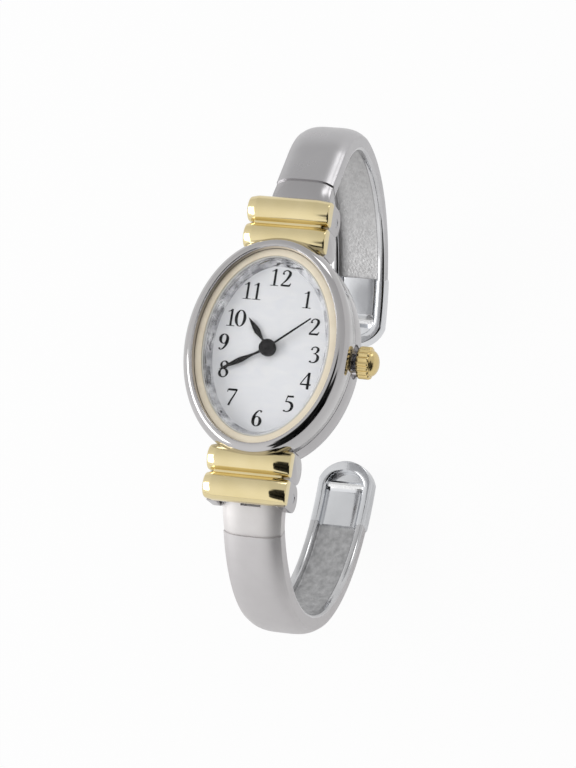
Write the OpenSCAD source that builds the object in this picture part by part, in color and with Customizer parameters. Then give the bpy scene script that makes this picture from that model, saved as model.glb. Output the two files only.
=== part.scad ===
// Ladies' cuff watch: oval case, two-tone hinged lugs, sprung hollow arms and a quartz movement.
// X points to 3 o'clock, Y to 12 o'clock and Z out of the dial; Z = 0 is the flat of the case back.

/* [Case] */
// Half the width of the case, from 9 to 3 o'clock
case_a = 9.6; // [9:0.1:10.4]
// Half the length of the case, from 6 to 12 o'clock
case_b = 12.75; // [12.2:0.05:13.4]
// Thickness of the side wall
case_wall = 1.2; // [1.0:0.05:1.3]
// Height of the raised flat of the case back
back_boss = 0.35; // [0.2:0.05:0.5]
// Thickness of the case back's rim
back_rim = 0.65; // [0.5:0.05:0.8]
// Height of the side wall under the bezel
band_h = 2.9; // [2.6:0.1:3.2]
// Height of the neck that the bezel snaps over
neck_h = 1.4; // [1.1:0.1:1.6]

/* [Bezel and crystal] */
// Height of the bezel from its lower edge to its flange
bezel_skirt = 2.0; // [1.9:0.1:2.4]
// Thickness of the bezel's flange
flange_h = 0.7; // [0.5:0.05:0.8]
// Width of the rounded bezel, seen from above
bezel_w = 1.4; // [1.2:0.05:1.6]
// Height of the rounded bezel above its flange
bezel_dome = 1.3; // [1.0:0.05:1.5]
// Width of the gold inlay ring
inlay_w = 0.83; // [0.7:0.01:0.95]
// Thickness of the gold inlay ring
inlay_h = 0.4; // [0.3:0.05:0.5]
// Thickness of the crystal
crystal_h = 0.6; // [0.5:0.05:0.65]
// Width of the slope of the inner ring round the dial
slope_w = 0.6; // [0.4:0.05:0.8]
// Thickness of the dial
dial_h = 0.4; // [0.3:0.05:0.45]

/* [Hands] */
// Length of the hour hand
hour_len = 4.35; // [3.8:0.05:4.8]
// Length of the minute hand
minute_len = 6.0; // [5.2:0.05:6.1]
// Length of the seconds hand
seconds_len = 5.9; // [5.2:0.05:6.1]
// Radius of the black hub
hub_r = 0.95; // [0.85:0.05:1.0]
// Width of the seconds hand
seconds_w = 0.17; // [0.14:0.01:0.2]
// Hours shown
hour_now = 10; // [0:1:11]
// Minutes shown
minute_now = 40; // [0:1:59]
// Seconds shown
second_now = 8.4; // [0:0.1:59.9]

/* [Crown] */
// Radius of the crown over its flutes
crown_r = 1.86; // [1.6:0.02:1.95]
// Length of the fluted part
crown_l = 1.45; // [1.35:0.05:1.8]
// Height of the crown's axis above the case back
stem_z = 2.9; // [2.8:0.05:3.0]
// How far the crown is pulled out
crown_travel = 0.8; // [0.6:0.05:0.9]
// Depth of the hollow in the case that the crown sinks into
crown_sink = 0.5; // [0.3:0.05:0.6]
// Radius of the crown tube
tube_r = 0.9; // [0.8:0.05:0.95]
// Radius of the stem
stem_r = 0.4; // [0.35:0.01:0.45]

/* [Lugs and hinges] */
// Distance of the hinge axis from the centre of the dial
hinge_y = 16.2; // [15.9:0.1:16.6]
// Height of the hinge axis
hinge_z = 2.2; // [2.1:0.05:2.3]
// Radius of each of the two ribs of a lug
rib_r = 1.62; // [1.62:0.01:1.7]
// Distance between the two ribs of a lug
rib_pitch = 3.2; // [3.1:0.05:3.2]
// Height of the axis of the ribs' round tops
rib_z = 5.35; // [5.1:0.05:5.5]
// Length of the ribs, across the watch
rib_l = 9.7; // [9.5:0.1:10.2]
// Radius of the soft ends of the gold covers
rib_soft = 0.4; // [0.3:0.05:0.5]
// Thickness of the gold covers
cover_t = 0.4; // [0.3:0.05:0.45]
// Radius of the hinge pins
pin_r = 0.5; // [0.4:0.05:0.55]
// Radius of the arms' knuckles
knuckle_r = 1.2; // [1.1:0.05:1.25]
// Thickness of the spring wire
spring_wire = 0.24; // [0.2:0.02:0.3]
// Turns of each hinge spring
spring_turns = 5; // [4:1:6]

/* [Arms] */
// Width of the arms
arm_w = 6.86; // [6.6:0.02:7]
// Width of the arms' necks at the hinges
neck_w = 7.24; // [7.1:0.02:7.4]
// Depth of the arms' sides
arm_t = 1.87; // [1.7:0.01:2.0]
// Rise of the arms' crowned outer face
arm_crown = 0.7; // [0.5:0.05:0.8]
// Width of the rims beside the hollow
arm_rim = 1.05; // [0.9:0.05:1.2]
// Depth of the outer wall at its edge
arm_skin = 0.8; // [0.7:0.05:0.9]
// Bevel of the arms' inner edges
arm_bevel = 0.25; // [0.2:0.01:0.3]
// Depth at which the arms' sides meet the crowned outer face
arm_edge = 0.3; // [0.25:0.01:0.4]
// Extra thickness of the end caps
cap_swell = 0.6; // [0.4:0.05:0.7]
// Length of an end cap before its rounded end
cap_l = 5.2; // [4.6:0.1:5.6]
// Upper arm: slope where it leaves the hinge
upper_slope = 6; // [4:1:8]
// Upper arm: radius of the neck
upper_neck_r = 6.8; // [6.6:0.1:7.2]
// Upper arm: bend of the neck, in degrees
upper_neck_bend = 37; // [36:1:38]
// Upper arm: straight run after the neck
upper_straight = 5.65; // [5.4:0.05:5.9]
// Upper arm: radius of the shoulder
upper_shoulder_r = 10.35; // [10:0.05:10.8]
// Upper arm: bend of the shoulder, in degrees
upper_shoulder_bend = 61.4; // [60:0.1:63]
// Upper arm: radius of the side and back
upper_back_r = 21.3; // [20.8:0.1:21.8]
// Upper arm: bend of the side and back, in degrees
upper_back_bend = 85; // [82:1:86]
// Lower arm: slope where it leaves the hinge
lower_slope = -15.2; // [-17:0.1:-14]
// Lower arm: radius of the neck
lower_neck_r = 10.5; // [10.2:0.1:10.8]
// Lower arm: bend of the neck, in degrees
lower_neck_bend = 26.2; // [25:0.1:27]
// Lower arm: straight run after the neck
lower_straight = 0.6; // [0.4:0.1:1.2]
// Lower arm: radius of the shoulder
lower_shoulder_r = 20.7; // [20.3:0.1:21.1]
// Lower arm: bend of the shoulder, in degrees
lower_shoulder_bend = 78.5; // [77:0.5:80]
// Lower arm: radius of the side and back
lower_back_r = 23.3; // [22.8:0.1:23.8]
// Lower arm: bend of the side and back, in degrees
lower_back_bend = 64; // [62:1:66]

/* [Movement] */
// Width of the movement
move_w = 12.4; // [12:0.1:12.8]
// Length of the movement
move_l = 15.6; // [15.2:0.1:15.8]
// Thickness of the main plate
plate_h = 0.6; // [0.5:0.05:0.65]
// Radius of the battery
battery_r = 2.9; // [2.7:0.05:2.95]
// Thickness of the battery
battery_h = 2.1; // [1.9:0.05:2.15]

/* [Hidden] */
$fn = 48;
oval_n = 96;
cut = 0.02;
gap = 0.05;
run_gap = 0.05;
press_gap = 0.01;
silver = [0.75, 0.76, 0.78];
gold = [0.83, 0.69, 0.36];
brass = [0.80, 0.66, 0.35];
steel = [0.66, 0.67, 0.70];

// Heights, from the case back up
back_h = back_boss + back_rim;
seam_z = back_h + band_h;
flange_z = seam_z + bezel_skirt;
inlay_z = flange_z + flange_h;
glass_top = inlay_z + inlay_h;
glass_z = glass_top - crystal_h;
case_neck_z = seam_z + neck_h;
skirt_wall = case_wall - 0.62;
dial_top = case_neck_z + 0.05;
dial_z = dial_top - dial_h;
holder_z = back_h + 0.2;
plate_top = dial_z - 0.75;
plate_z = plate_top - plate_h;
battery_z = plate_z - 0.1 - battery_h;
bridge_z = back_h + 1.25;
bridge_h = 0.25;

// Offsets inward from the outline of the case
inlay_in = bezel_w + inlay_w;
glass_off = inlay_in + 0.2;
slope_off = inlay_in + 0.27;
dial_edge = slope_off + slope_w;

// Gearing: teeth and module of each pair, and the distance between their axes
step_teeth = 48;
rotor_leaves = 8;
step_leaves = 8;
seconds_teeth = 40;
seconds_leaves = 8;
third_teeth = 60;
third_leaves = 8;
centre_teeth = 64;
cannon_teeth = 12;
minute_teeth = 36;
minute_leaves = 10;
hour_teeth = 40;
setting_teeth = 28;
rotor_gap = 1.68;
step_gap = 2.4;
third_gap = 2.38;
motion_gap = 2.4;
step_angle = 60;
rotor_angle = 90;
third_angle = 170;
step_at = step_gap * [cos(step_angle), sin(step_angle)];
rotor_at = step_at + rotor_gap * [cos(rotor_angle), sin(rotor_angle)];
third_at = third_gap * [cos(third_angle), sin(third_angle)];
motion_at = [motion_gap, 0];
battery_at = [0, -5.2];
move_shift = -0.5;
pivot_r = 0.1;
arbor_r = 0.14;

// Levels of the train between the bridge and the main plate
train_z = bridge_z + bridge_h;
level_1 = train_z + 0.08;
level_2 = train_z + 0.45;
level_3 = train_z + 0.72;

// Hands
seconds_now = 6 * second_now;
minutes_now = 6 * minute_now + second_now / 10;
hours_now = 30 * hour_now + minute_now / 2 + second_now / 120;
hour_hand_z = dial_top + 0.22;
minute_hand_z = hour_hand_z + 0.25;
seconds_hand_z = minute_hand_z + 0.22;
hand_t = 0.1;

// Crown
crown_x = case_a + 0.4;
sink_x = case_a - crown_sink;
tube_end = crown_x + 0.2;
crown_hollow = crown_travel + 0.3;
stem_tip = 3.9;
pinion_x = motion_gap + size_of(motion_gap, cannon_teeth, minute_teeth) * (minute_teeth / 2 + 0.75) + 0.12;
setting_r = setting_teeth / 2 * size_of(motion_gap, cannon_teeth, minute_teeth);
gasket_r = tube_r + 0.42;
square_w = 0.6;
stem_neck = 6;
bearing_x = 5.4;

// Small pieces of the movement
posts = [[-4.85, -1.5], [-4.75, 2.75], [3.25, -1.5]];
post_r = 0.45;
screw_r = 0.2;
coil_x = -3.9;
coil_l = 7.2;
coil_y = 6;
clamp_l = battery_r * 2 + 0.1;
board_z = bridge_z - 0.12;
centre_tube_r = 0.28;
cannon_r = 0.42;
hour_tube_r = 0.64;
motion_z = plate_top + 0.08;

// The two arms as [first slope, neck radius, neck bend, straight, shoulder radius, bend, back radius, bend,
// part of the straight that belongs to the neck]
upper = [
    upper_slope, upper_neck_r, upper_neck_bend, upper_straight,
    upper_shoulder_r, upper_shoulder_bend, upper_back_r, upper_back_bend, 0.5
];
lower = [
    lower_slope, lower_neck_r, lower_neck_bend, lower_straight,
    lower_shoulder_r, lower_shoulder_bend, lower_back_r, lower_back_bend, 0.05
];
spring_half = (spring_turns + 1) * spring_wire * 0.75 + 0.1;
cover_z = rib_z - 0.35;
slot_top = rib_z - 1.05;
slot_y = hinge_y - knuckle_r - 0.12;
neck_top = 0.65;
collar_drop = 0.18;
plug_l = 0.5;
cup_floor = 0.45;
tongue_d = 1.05;

// A point on the case outline, moved inward by off along its own normal
function oval_point(off, t) =
    let (k = norm([case_b * cos(t), case_a * sin(t)]))
    [case_a * cos(t) - off * case_b * cos(t) / k, case_b * sin(t) - off * case_a * sin(t) / k];
function oval(off) = [for (i = [0:oval_n - 1]) oval_point(off, 360 * i / oval_n)];

module oval_plate(off, z, h) translate([0, 0, z]) linear_extrude(h) polygon(oval(off));

module oval_ring(off_out, off_in, z, h) difference() {
    oval_plate(off_out, z, h);
    oval_plate(off_in, z - cut, h + 2 * cut);
}

// A closed section of [inward offset, height] points carried round the case outline
module oval_sweep(section) {
    m = len(section);
    points = [for (i = [0:oval_n - 1]) for (q = section)
        let (p = oval_point(q[0], 360 * i / oval_n)) [p[0], p[1], q[1]]];
    faces = [for (i = [0:oval_n - 1]) for (j = [0:m - 1])
        let (a = i * m, b = (i + 1) % oval_n * m, k = (j + 1) % m) [a + j, b + j, b + k, a + k]];
    polyhedron(points, faces);
}

// A wheel with straight-sided teeth, given its number of teeth and its module
function gear_outline(teeth, size, slack = 0.8) = [for (i = [0:teeth - 1]) for (q = [
    [-0.30, -1.15], [-0.16, 0.75], [0.16, 0.75], [0.30, -1.15]
]) let (a = 360 / teeth * (i + q[0] * slack), r = size * (teeth / 2 + q[1])) [r * cos(a), r * sin(a)]];

// The module of a pair of wheels, from the distance between their axes
function size_of(distance, leaves, teeth) = 2 * distance / (leaves + teeth);

module wheel(teeth, size, h, turn = 0) rotate(turn) linear_extrude(h) polygon(gear_outline(teeth, size));

module at(p, z) translate([p[0], p[1], z]) children();

// Half a circle of radius r round [y, z], starting at angle a
function half_round(y, z, r, a, n = 14) =
    [for (i = [0:n]) [y + r * cos(a + 180 * i / n), z + r * sin(a + 180 * i / n)]];

// Draws a profile given in Y and Z as a solid of length l centred across the watch
module across(l, x = 0) translate([x - l / 2, 0, 0]) rotate([90, 0, 90]) linear_extrude(l) children();

// Two ribs side by side, joined by a web that ends below the valley between their round tops
module round_ribs(r, l) across(l) {
    for (y = [hinge_y - rib_pitch, hinge_y])
        polygon(concat(half_round(y, rib_z, r, 0), [[y - r, hinge_z], [y + r, hinge_z]]));
    translate([hinge_y - rib_pitch, hinge_z]) square([rib_pitch, rib_z - rib_r + r - hinge_z]);
}

// A rectangle of half sizes a and b with its corners rounded to radius r
function soft_box(a, b, r) = [for (q = [[1, 1, 0], [-1, 1, 90], [-1, -1, 180], [1, -1, 270]]) for (i = [0:4])
    let (t = q[2] + 22.5 * i) [q[0] * (a - r) + r * cos(t), q[1] * (b - r) + r * sin(t)]];

// Two ribs whose ends are rounded where they meet the top and the sides
module soft_ribs() intersection() {
    round_ribs(rib_r, rib_l);
    translate([0, 2 * hinge_y, 0]) rotate([90, 0, 0]) linear_extrude(2 * hinge_y)
        polygon(soft_box(rib_l / 2, rib_z + rib_r, rib_soft));
    linear_extrude(2 * rib_z) {
        translate([0, hinge_y]) polygon(soft_box(rib_l / 2, rib_r, rib_soft));
        translate([0, hinge_y - rib_pitch]) polygon(soft_box(rib_l / 2, rib_r, rib_soft));
        translate([rib_soft + cover_t - rib_l / 2, hinge_y - rib_pitch]) square([rib_l - 2 * (rib_soft + cover_t), rib_pitch]);
    }
}

module flat_ribs(r, top, l) across(l) {
    for (y = [hinge_y - rib_pitch, hinge_y])
        polygon(concat([[y + r, top], [y - r, top]], half_round(y, hinge_z, r, 180)));
    translate([hinge_y - rib_pitch, hinge_z]) square([rib_pitch, top - hinge_z]);
}

module x_rod(r, l, x, y, z) translate([x, y, z]) rotate([0, 90, 0]) cylinder(r = r, h = l);

// A place along an arm as [y, z, slope], and the place after a bend or a straight
function bend(p, r, a) =
    [p[0] + r * (sin(p[2]) - sin(p[2] - a)), p[1] + r * (cos(p[2] - a) - cos(p[2])), p[2] - a];
function ahead(p, d) = [p[0] + d * cos(p[2]), p[1] + d * sin(p[2]), p[2]];
function arm_start(arm) = [hinge_y, hinge_z + neck_top, arm[0]];
function neck_end(arm) = bend(arm_start(arm), arm[1], arm[2]);
function straight_end(arm) = ahead(neck_end(arm), arm[3]);
function shoulder_end(arm) = bend(straight_end(arm), arm[4], arm[5]);
function tip_len() = cap_l + arm_w / 2 + 0.15;
function tip_bend(arm) = tip_len() / arm[6] * 180 / PI;
function shell_bend(arm) = arm[7] - tip_bend(arm);
function shell_end(arm) = bend(shoulder_end(arm), arm[6], shell_bend(arm));

// A section of [across, inward] points carried round a bend or along a straight
module bend_run(p, r, a, section)
    translate([0, p[0] + r * sin(p[2]), p[1] - r * cos(p[2])]) rotate([0, 90, 0])
        rotate_extrude(angle = a, start = 180 + p[2] - a, $fn = 180)
            polygon([for (q = section) [r - q[1], q[0]]]);

module straight_run(p, d, section)
    translate([0, p[0], p[1]]) rotate([p[2] - 90, 0, 0]) linear_extrude(d) polygon(section);

// Places round a bend, without its first one, and a solid that joins one section at each place; parts lists
// the convex parts of a hollow section's end face
function round_bend(p, r, a, n) = [for (i = [1:n]) bend(p, r, a * i / n)];
module joined(places, sections, parts = []) {
    m = len(sections[0]);
    last = len(places) - 1;
    ends = len(parts) > 0 ? parts : [[for (j = [0:m - 1]) j]];
    points = [for (i = [0:last]) let (p = places[i]) for (q = sections[i])
        [q[0], p[0] + q[1] * sin(p[2]), p[1] - q[1] * cos(p[2])]];
    sides = [for (i = [0:last - 1]) for (j = [0:m - 1]) let (a = i * m, b = a + m, k = (j + 1) % m)
        [a + j, b + j, b + k, a + k]];
    polyhedron(points, concat(sides, ends, [for (e = ends) [for (j = [1:len(e)]) last * m + e[len(e) - j]]]));
}

// The outer edge of an arm's section, from one side to the other
function crown_edge(w, rise, drop) = [for (i = [-5:5])
    [w / 2 * 0.96 * i / 5, drop + 0.06 - rise * (1 - pow(abs(i) / 5, 2.5))]];
function solid_section(w, rise, t, drop = 0) = concat(
    [[-w / 2, t - arm_bevel], [-w / 2, drop + arm_edge]], crown_edge(w, rise, drop),
    [[w / 2, drop + arm_edge], [w / 2, t - arm_bevel], [w / 2 - arm_bevel, t], [arm_bevel - w / 2, t]]
);
function channel_section(w, rise, t, rim, skin) = concat(
    [[-w / 2, t - arm_bevel], [-w / 2, arm_edge]], crown_edge(w, rise, 0),
    [[w / 2, arm_edge], [w / 2, t - arm_bevel], [w / 2 - arm_bevel, t], [w / 2 - rim, t], [w / 2 - rim, skin]],
    [[rim - w / 2, skin], [rim - w / 2, t], [arm_bevel - w / 2, t]]
);

// The channel's end face as three convex parts: the outer wall and the two rims
channel_parts = [concat([for (i = [1:13]) i], [17, 18]), [13, 14, 15, 16, 17], [18, 19, 20, 0, 1]];

module crown_axis() translate([0, 0, stem_z]) rotate([0, 90, 0]) children();

// Case body with the two lugs, cast in one piece
module case() color(silver) difference() {
    union() {
        difference() {
            union() {
                oval_plate(0, back_h, band_h);
                for (s = [0, 1]) mirror([0, s, 0]) lug();
            }
            oval_plate(case_wall, 0, 2 * rib_z);
        }
        oval_ring(skirt_wall + gap, case_wall, seam_z - cut, neck_h + cut);
    }
    oval_ring(0.6, case_wall + cut, back_h - cut, 0.3 + cut);
    crown_axis() translate([0, 0, sink_x]) cylinder(r = crown_r + 0.12, h = crown_sink + 1);
    crown_axis() cylinder(r = tube_r + press_gap, h = case_a + 1);
}

// One lug: a two-ribbed block with a slot for the arm's knuckle and a bore for the pin
module lug() difference() {
    union() {
        flat_ribs(rib_r, cover_z - gap, rib_l - 4 * gap);
        round_ribs(rib_r - cover_t - gap, rib_l - 2 * (cover_t + rib_soft / 2 + gap));
    }
    across(neck_w + 2 * gap) polygon([
        [slot_y, -rib_z], [2 * hinge_y, -rib_z], [2 * hinge_y, slot_top], [slot_y, slot_top]
    ]);
    oval_plate(-gap, seam_z, 2 * rib_z);
    oval_plate(0.1, -1, 1 + back_h);
    x_rod(pin_r + press_gap, rib_l + 1, -rib_l / 2 - 0.5, hinge_y, hinge_z);
}

module lug_cover() color(gold) difference() {
    soft_ribs();
    round_ribs(rib_r - cover_t, rib_l - 2 * cover_t - rib_soft);
    translate([-rib_l, 0, 0]) cube([2 * rib_l, 2 * hinge_y, cover_z]);
    oval_plate(-2 * gap, 0, 3 * rib_z);
}

module case_back() color(silver) {
    oval_plate(1.15, 0, back_boss + cut);
    oval_plate(0.15, back_boss, back_rim);
    oval_ring(case_wall + gap, case_wall + 0.55, back_h - cut, 0.55);
}

module back_gasket() color([0.16, 0.16, 0.17]) oval_ring(0.65, case_wall - gap, back_h + gap, 0.2);

module bezel() color(silver) difference() {
    oval_sweep(concat(
        [[skirt_wall, seam_z + gap], [0.08, seam_z + gap], [0, seam_z + 0.15]],
        [for (i = [0:6]) let (a = 90 * i / 6)
            [bezel_w * 0.55 * (1 - cos(a)), flange_z + 0.3 + (flange_h + bezel_dome - 0.3 - 0.02) * sin(a)]],
        [for (i = [1:4]) let (a = 90 * i / 4)
            [bezel_w * (0.55 + 0.45 * sin(a)), inlay_z + bezel_dome - 0.02 - (bezel_dome - inlay_h) * (1 - cos(a))]],
        [[bezel_w, inlay_z], [inlay_in, inlay_z], [inlay_in, flange_z], [skirt_wall, flange_z]]
    ));
    crown_axis() translate([0, 0, sink_x]) cylinder(r = crown_r + 0.12, h = crown_sink + 1);
}

module inlay_ring() color([0.86, 0.80, 0.66]) oval_ring(bezel_w + 0.02, inlay_in, inlay_z, inlay_h);

module crystal() color([0.9, 0.95, 1, 0.3]) oval_plate(glass_off, glass_z, crystal_h);

module crystal_gasket() color([0.93, 0.93, 0.93]) oval_ring(inlay_in + 0.01, glass_off - 0.01, glass_z, crystal_h - 0.05);

module rehaut() color([0.62, 0.62, 0.64]) oval_sweep([
    [case_wall + gap, dial_top], [dial_edge, dial_top], [slope_off, glass_z], [inlay_in + 0.02, glass_z],
    [inlay_in + 0.02, flange_z - gap], [case_wall + gap, flange_z - gap]
]);

module dial() color([0.95, 0.95, 0.97]) difference() {
    oval_plate(case_wall + gap, dial_z, dial_h);
    translate([0, 0, dial_z - 1]) cylinder(r = 0.85, h = 3);
}

module hinge_pin() color(steel) x_rod(pin_r, rib_l - 0.5, 0.25 - rib_l / 2, hinge_y, hinge_z);

// Torsion spring round the pin: one round wire wound as a helix
module hinge_spring() color(steel) {
    rings = spring_turns * 12;
    pitch = spring_wire * 1.5;
    r = pin_r + 0.05 + spring_wire / 2;
    points = [for (i = [0:rings]) for (j = [0:5])
        let (a = 30 * i, b = 60 * j, rho = r + spring_wire / 2 * cos(b))
        [pitch * (i / 12 - spring_turns / 2) + spring_wire / 2 * sin(b), rho * cos(a), rho * sin(a)]];
    sides = [for (i = [0:rings - 1]) for (j = [0:5]) let (a = 6 * i, k = (j + 1) % 6)
        each [[a + j, a + k, a + 6 + k], [a + j, a + 6 + k, a + 6 + j]]];
    ends = [[5, 4, 3, 2, 1, 0], [for (j = [0:5]) 6 * rings + j]];
    translate([0, hinge_y, hinge_z]) polyhedron(points, concat(sides, ends));
}

// Hinged neck of an arm: two knuckles on the pin and a plug that fits the hollow of the arm
module collar(arm) color(silver) difference() {
    union() {
        x_rod(knuckle_r, neck_w, -neck_w / 2, hinge_y, hinge_z);
        joined(neck_places(arm), [for (p = neck_places(arm))
            solid_section(neck_width(arm, p[0]), arm_crown, arm_t, collar_drop)]);
        straight_run(ahead(neck_end(arm), arm[8] - cut), plug_l + cut, plug_section());
    }
    x_rod(pin_r + run_gap, rib_l, -rib_l / 2, hinge_y, hinge_z);
    x_rod(knuckle_r + 0.4, 2 * spring_half, -spring_half, hinge_y, hinge_z);
}
// Places along a neck, and its width, which tapers to a little less than the arm's
function neck_places(arm) = let (p = bend(arm_start(arm), arm[1], 3))
    concat([p], round_bend(p, arm[1], arm[2] - 3, 9), [ahead(neck_end(arm), arm[8])]);
function neck_width(arm, y) = let (y0 = hinge_y + pin_r, y1 = neck_end(arm)[0])
    neck_w + (arm_w - 2 * gap - neck_w) * min(1, max(0, (y - y0) / (y1 - y0)));
function plug_section() = let (w = arm_w / 2 - arm_rim - 0.03, d = arm_skin + 0.03)
    [[-w, d], [w, d], [w, arm_t - 0.1], [-w, arm_t - 0.1]];

// Hollow arm: a channel with a crowned outer face, open towards the wrist
module arm_shell(arm) color(silver) {
    section = channel_section(arm_w, arm_crown, arm_t, arm_rim, arm_skin);
    places = concat(
        [ahead(neck_end(arm), arm[8]), straight_end(arm)],
        round_bend(straight_end(arm), arm[4], arm[5], 20),
        round_bend(shoulder_end(arm), arm[6], shell_bend(arm), 16)
    );
    joined(places, [for (p = places) section], channel_parts);
}

// Rounded end of an arm, thicker than the arm and hollowed like a cup, with a tongue in the channel
module end_cap(arm) color(silver) {
    start = shell_end(arm);
    cap_bend = cap_l / arm[6] * 180 / PI;
    half = bend(start, arm[6], cap_bend);
    inner = arm_w / 2 - arm_rim - 0.03;
    difference() {
        intersection() {
            bend_run(start, arm[6], tip_bend(arm) + 4,
                solid_section(arm_w, arm_crown + cap_swell * 0.6, arm_t, -cap_swell));
            translate([0, half[0], half[1]]) rotate([half[2] - 90, 0, 0]) end_plan();
        }
        translate([0, half[0], half[1]]) rotate([half[2] - 90, 0, 0]) intersection() {
            translate([0, cup_floor, 0]) rotate([-90, 0, 0]) cylinder(r = inner, h = 2 * arm_t);
            translate([-arm_w, 0, 0]) cube([2 * arm_w, 3 * arm_t, arm_w]);
        }
        bend_run(bend(start, arm[6], -2), arm[6], cap_bend + 1.9,
            [[-inner + arm_edge, tongue_d], [inner - arm_edge, tongue_d], [inner - arm_edge, 2 * arm_t],
                [arm_edge - inner, 2 * arm_t]]);
    }
    bend_run(bend(start, arm[6], -2), arm[6], 2.5,
        [[-inner, arm_skin + 0.03], [inner, arm_skin + 0.03], [inner, tongue_d], [-inner, tongue_d]]);
}

// Outline of an end cap seen square to its face: straight sides and a round end
module end_plan() rotate([-90, 0, 0]) translate([0, 0, -2 * arm_t]) linear_extrude(4 * arm_t) {
    translate([-arm_w, 0]) square([2 * arm_w, 2 * cap_l]);
    circle(r = arm_w / 2 + 0.15, $fn = 96);
}

module crown_tube() color(steel) crown_axis() difference() {
    translate([0, 0, case_a - case_wall - 0.05]) cylinder(r = tube_r, h = tube_end - case_a + case_wall + 0.05);
    translate([0, 0, case_a / 2]) cylinder(r = stem_r + 0.12, h = case_a);
}

// Fluted crown with a domed end, hollow inside for the tube and its gasket
module crown() color(gold) crown_axis() translate([0, 0, crown_x]) difference() {
    union() {
        intersection() {
            linear_extrude(crown_l) polygon([for (i = [0:143])
                let (r = crown_r - 0.11 * pow(abs(cos(4.5 * i * 5)), 6), a = 2.5 * i) [r * cos(a), r * sin(a)]]);
            cylinder(r1 = crown_r - 0.15, r2 = crown_r - 0.15 + crown_l, h = crown_l);
            cylinder(r1 = crown_r - 0.1 + crown_l, r2 = crown_r - 0.1, h = crown_l);
        }
        rotate_extrude() polygon(concat([[0, crown_l - cut]],
            [for (i = [0:8]) [(crown_r - 0.4) * cos(90 * i / 8), crown_l + 0.85 * sin(90 * i / 8)]]));
    }
    translate([0, 0, -cut]) cylinder(r = tube_r + gap, h = crown_hollow);
    translate([0, 0, 0.2]) cylinder(r = gasket_r + press_gap, h = 0.44);
    cylinder(r = stem_r + press_gap, h = crown_hollow + 0.5);
}

module crown_gasket() color([0.12, 0.12, 0.13]) crown_axis() translate([0, 0, crown_x + 0.42])
    rotate_extrude() translate([(tube_r + gasket_r + 0.02) / 2, 0]) circle(r = (gasket_r - tube_r - 0.02) / 2);

// Winding stem: square where it slides through the setting pinion, round beyond
module stem() color(steel) {
    crown_axis() translate([0, 0, stem_neck]) cylinder(r = stem_r, h = crown_x + crown_hollow + 0.45 - stem_neck);
    translate([stem_tip, -square_w / 2, stem_z - square_w / 2]) cube([stem_neck - stem_tip + cut, square_w, square_w]);
}

// Face-toothed pinion that the stem turns and that turns the minute wheel
module setting_pinion() color(brass) difference() {
    union() {
        x_rod(setting_r + 0.1, 0.3, pinion_x, 0, stem_z);
        x_rod(0.68, 0.3, pinion_x + 0.3 - cut, 0, stem_z);
        for (i = [0:setting_teeth - 1]) translate([0, 0, stem_z]) rotate([360 * i / setting_teeth, 0, 0])
            translate([pinion_x - 0.28, -0.055, setting_r - 0.2]) cube([0.28 + cut, 0.11, 0.29]);
    }
    translate([pinion_x - 1, -square_w / 2 - gap, stem_z - square_w / 2 - gap])
        cube([3, square_w + 2 * gap, square_w + 2 * gap]);
}

// Outline of the movement: a rectangle with rounded corners
module move_outline(grow = 0) translate([0, move_shift]) polygon([for (q = [[1, 1, 0], [-1, 1, 90], [-1, -1, 180], [1, -1, 270]])
    for (i = [0:6]) let (a = q[2] + 15 * i, r = 2.2)
    [q[0] * (move_w / 2 + grow - r) + r * cos(a), q[1] * (move_l / 2 + grow - r) + r * sin(a)]]);

module movement_holder() color([0.92, 0.92, 0.9]) difference() {
    oval_plate(case_wall + 2 * gap, holder_z, dial_z - holder_z);
    translate([0, 0, holder_z - cut]) linear_extrude(dial_z - holder_z + 2 * cut) move_outline(gap);
    x_rod(stem_r + 0.15, case_a, 4, 0, stem_z);
    oval_ring(case_wall - 0.1, case_wall + 0.7, holder_z - cut, 0.45);
}

module main_plate() color(brass) difference() {
    union() {
        translate([0, 0, plate_z]) linear_extrude(plate_h) move_outline();
        for (q = posts) at(q, bridge_z + bridge_h) cylinder(r = post_r, h = plate_z - bridge_z - bridge_h + cut);
        translate([bearing_x, -0.9, stem_z - 0.7]) cube([0.7, 1.8, plate_z - stem_z + 0.7 + cut]);
    }
    for (q = posts) at(q, bridge_z) cylinder(r = screw_r + press_gap, h = plate_top - bridge_z - 0.15);
    at([0, 0], plate_z - 1) cylinder(r = 0.34, h = 3);
    for (q = [step_at, third_at, rotor_at]) at(q, plate_z - cut) cylinder(r = pivot_r + run_gap, h = 0.3);
    at(motion_at, plate_top - 0.35) cylinder(r = arbor_r + run_gap, h = 1);
    x_rod(stem_r + 0.08, 4, bearing_x - 1, 0, stem_z);
    translate([pinion_x - 0.35, -setting_r - 0.22, plate_z - 1]) cube([1.0, 2 * setting_r + 0.44, 3]);
    translate([coil_x - 0.15, coil_y - 1, plate_z - 1]) cube([coil_l + 0.3, 2, 3]);
}

module train_bridge() color(brass) difference() {
    translate([0, 0, bridge_z]) linear_extrude(bridge_h) polygon([
        [-5.4, -2.1], [3.75, -2.1], [3.75, 1.4], [2.6, 4.9], [0, 4.9], [-1.2, 3.6], [-5.4, 3.6]
    ]);
    for (q = posts) at(q, bridge_z - 1) cylinder(r = screw_r + press_gap, h = 3);
    for (q = [[0, 0], step_at, third_at, rotor_at]) at(q, bridge_z - 1) cylinder(r = pivot_r + run_gap, h = 3);
}

module bridge_screws() color(steel) for (q = posts) at(q, bridge_z - 0.22) difference() {
    union() {
        cylinder(r = 0.42, h = 0.22);
        cylinder(r = screw_r, h = plate_top - bridge_z);
    }
    translate([-0.5, -0.05, -cut]) cube([1, 0.1, 0.1]);
}

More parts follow.
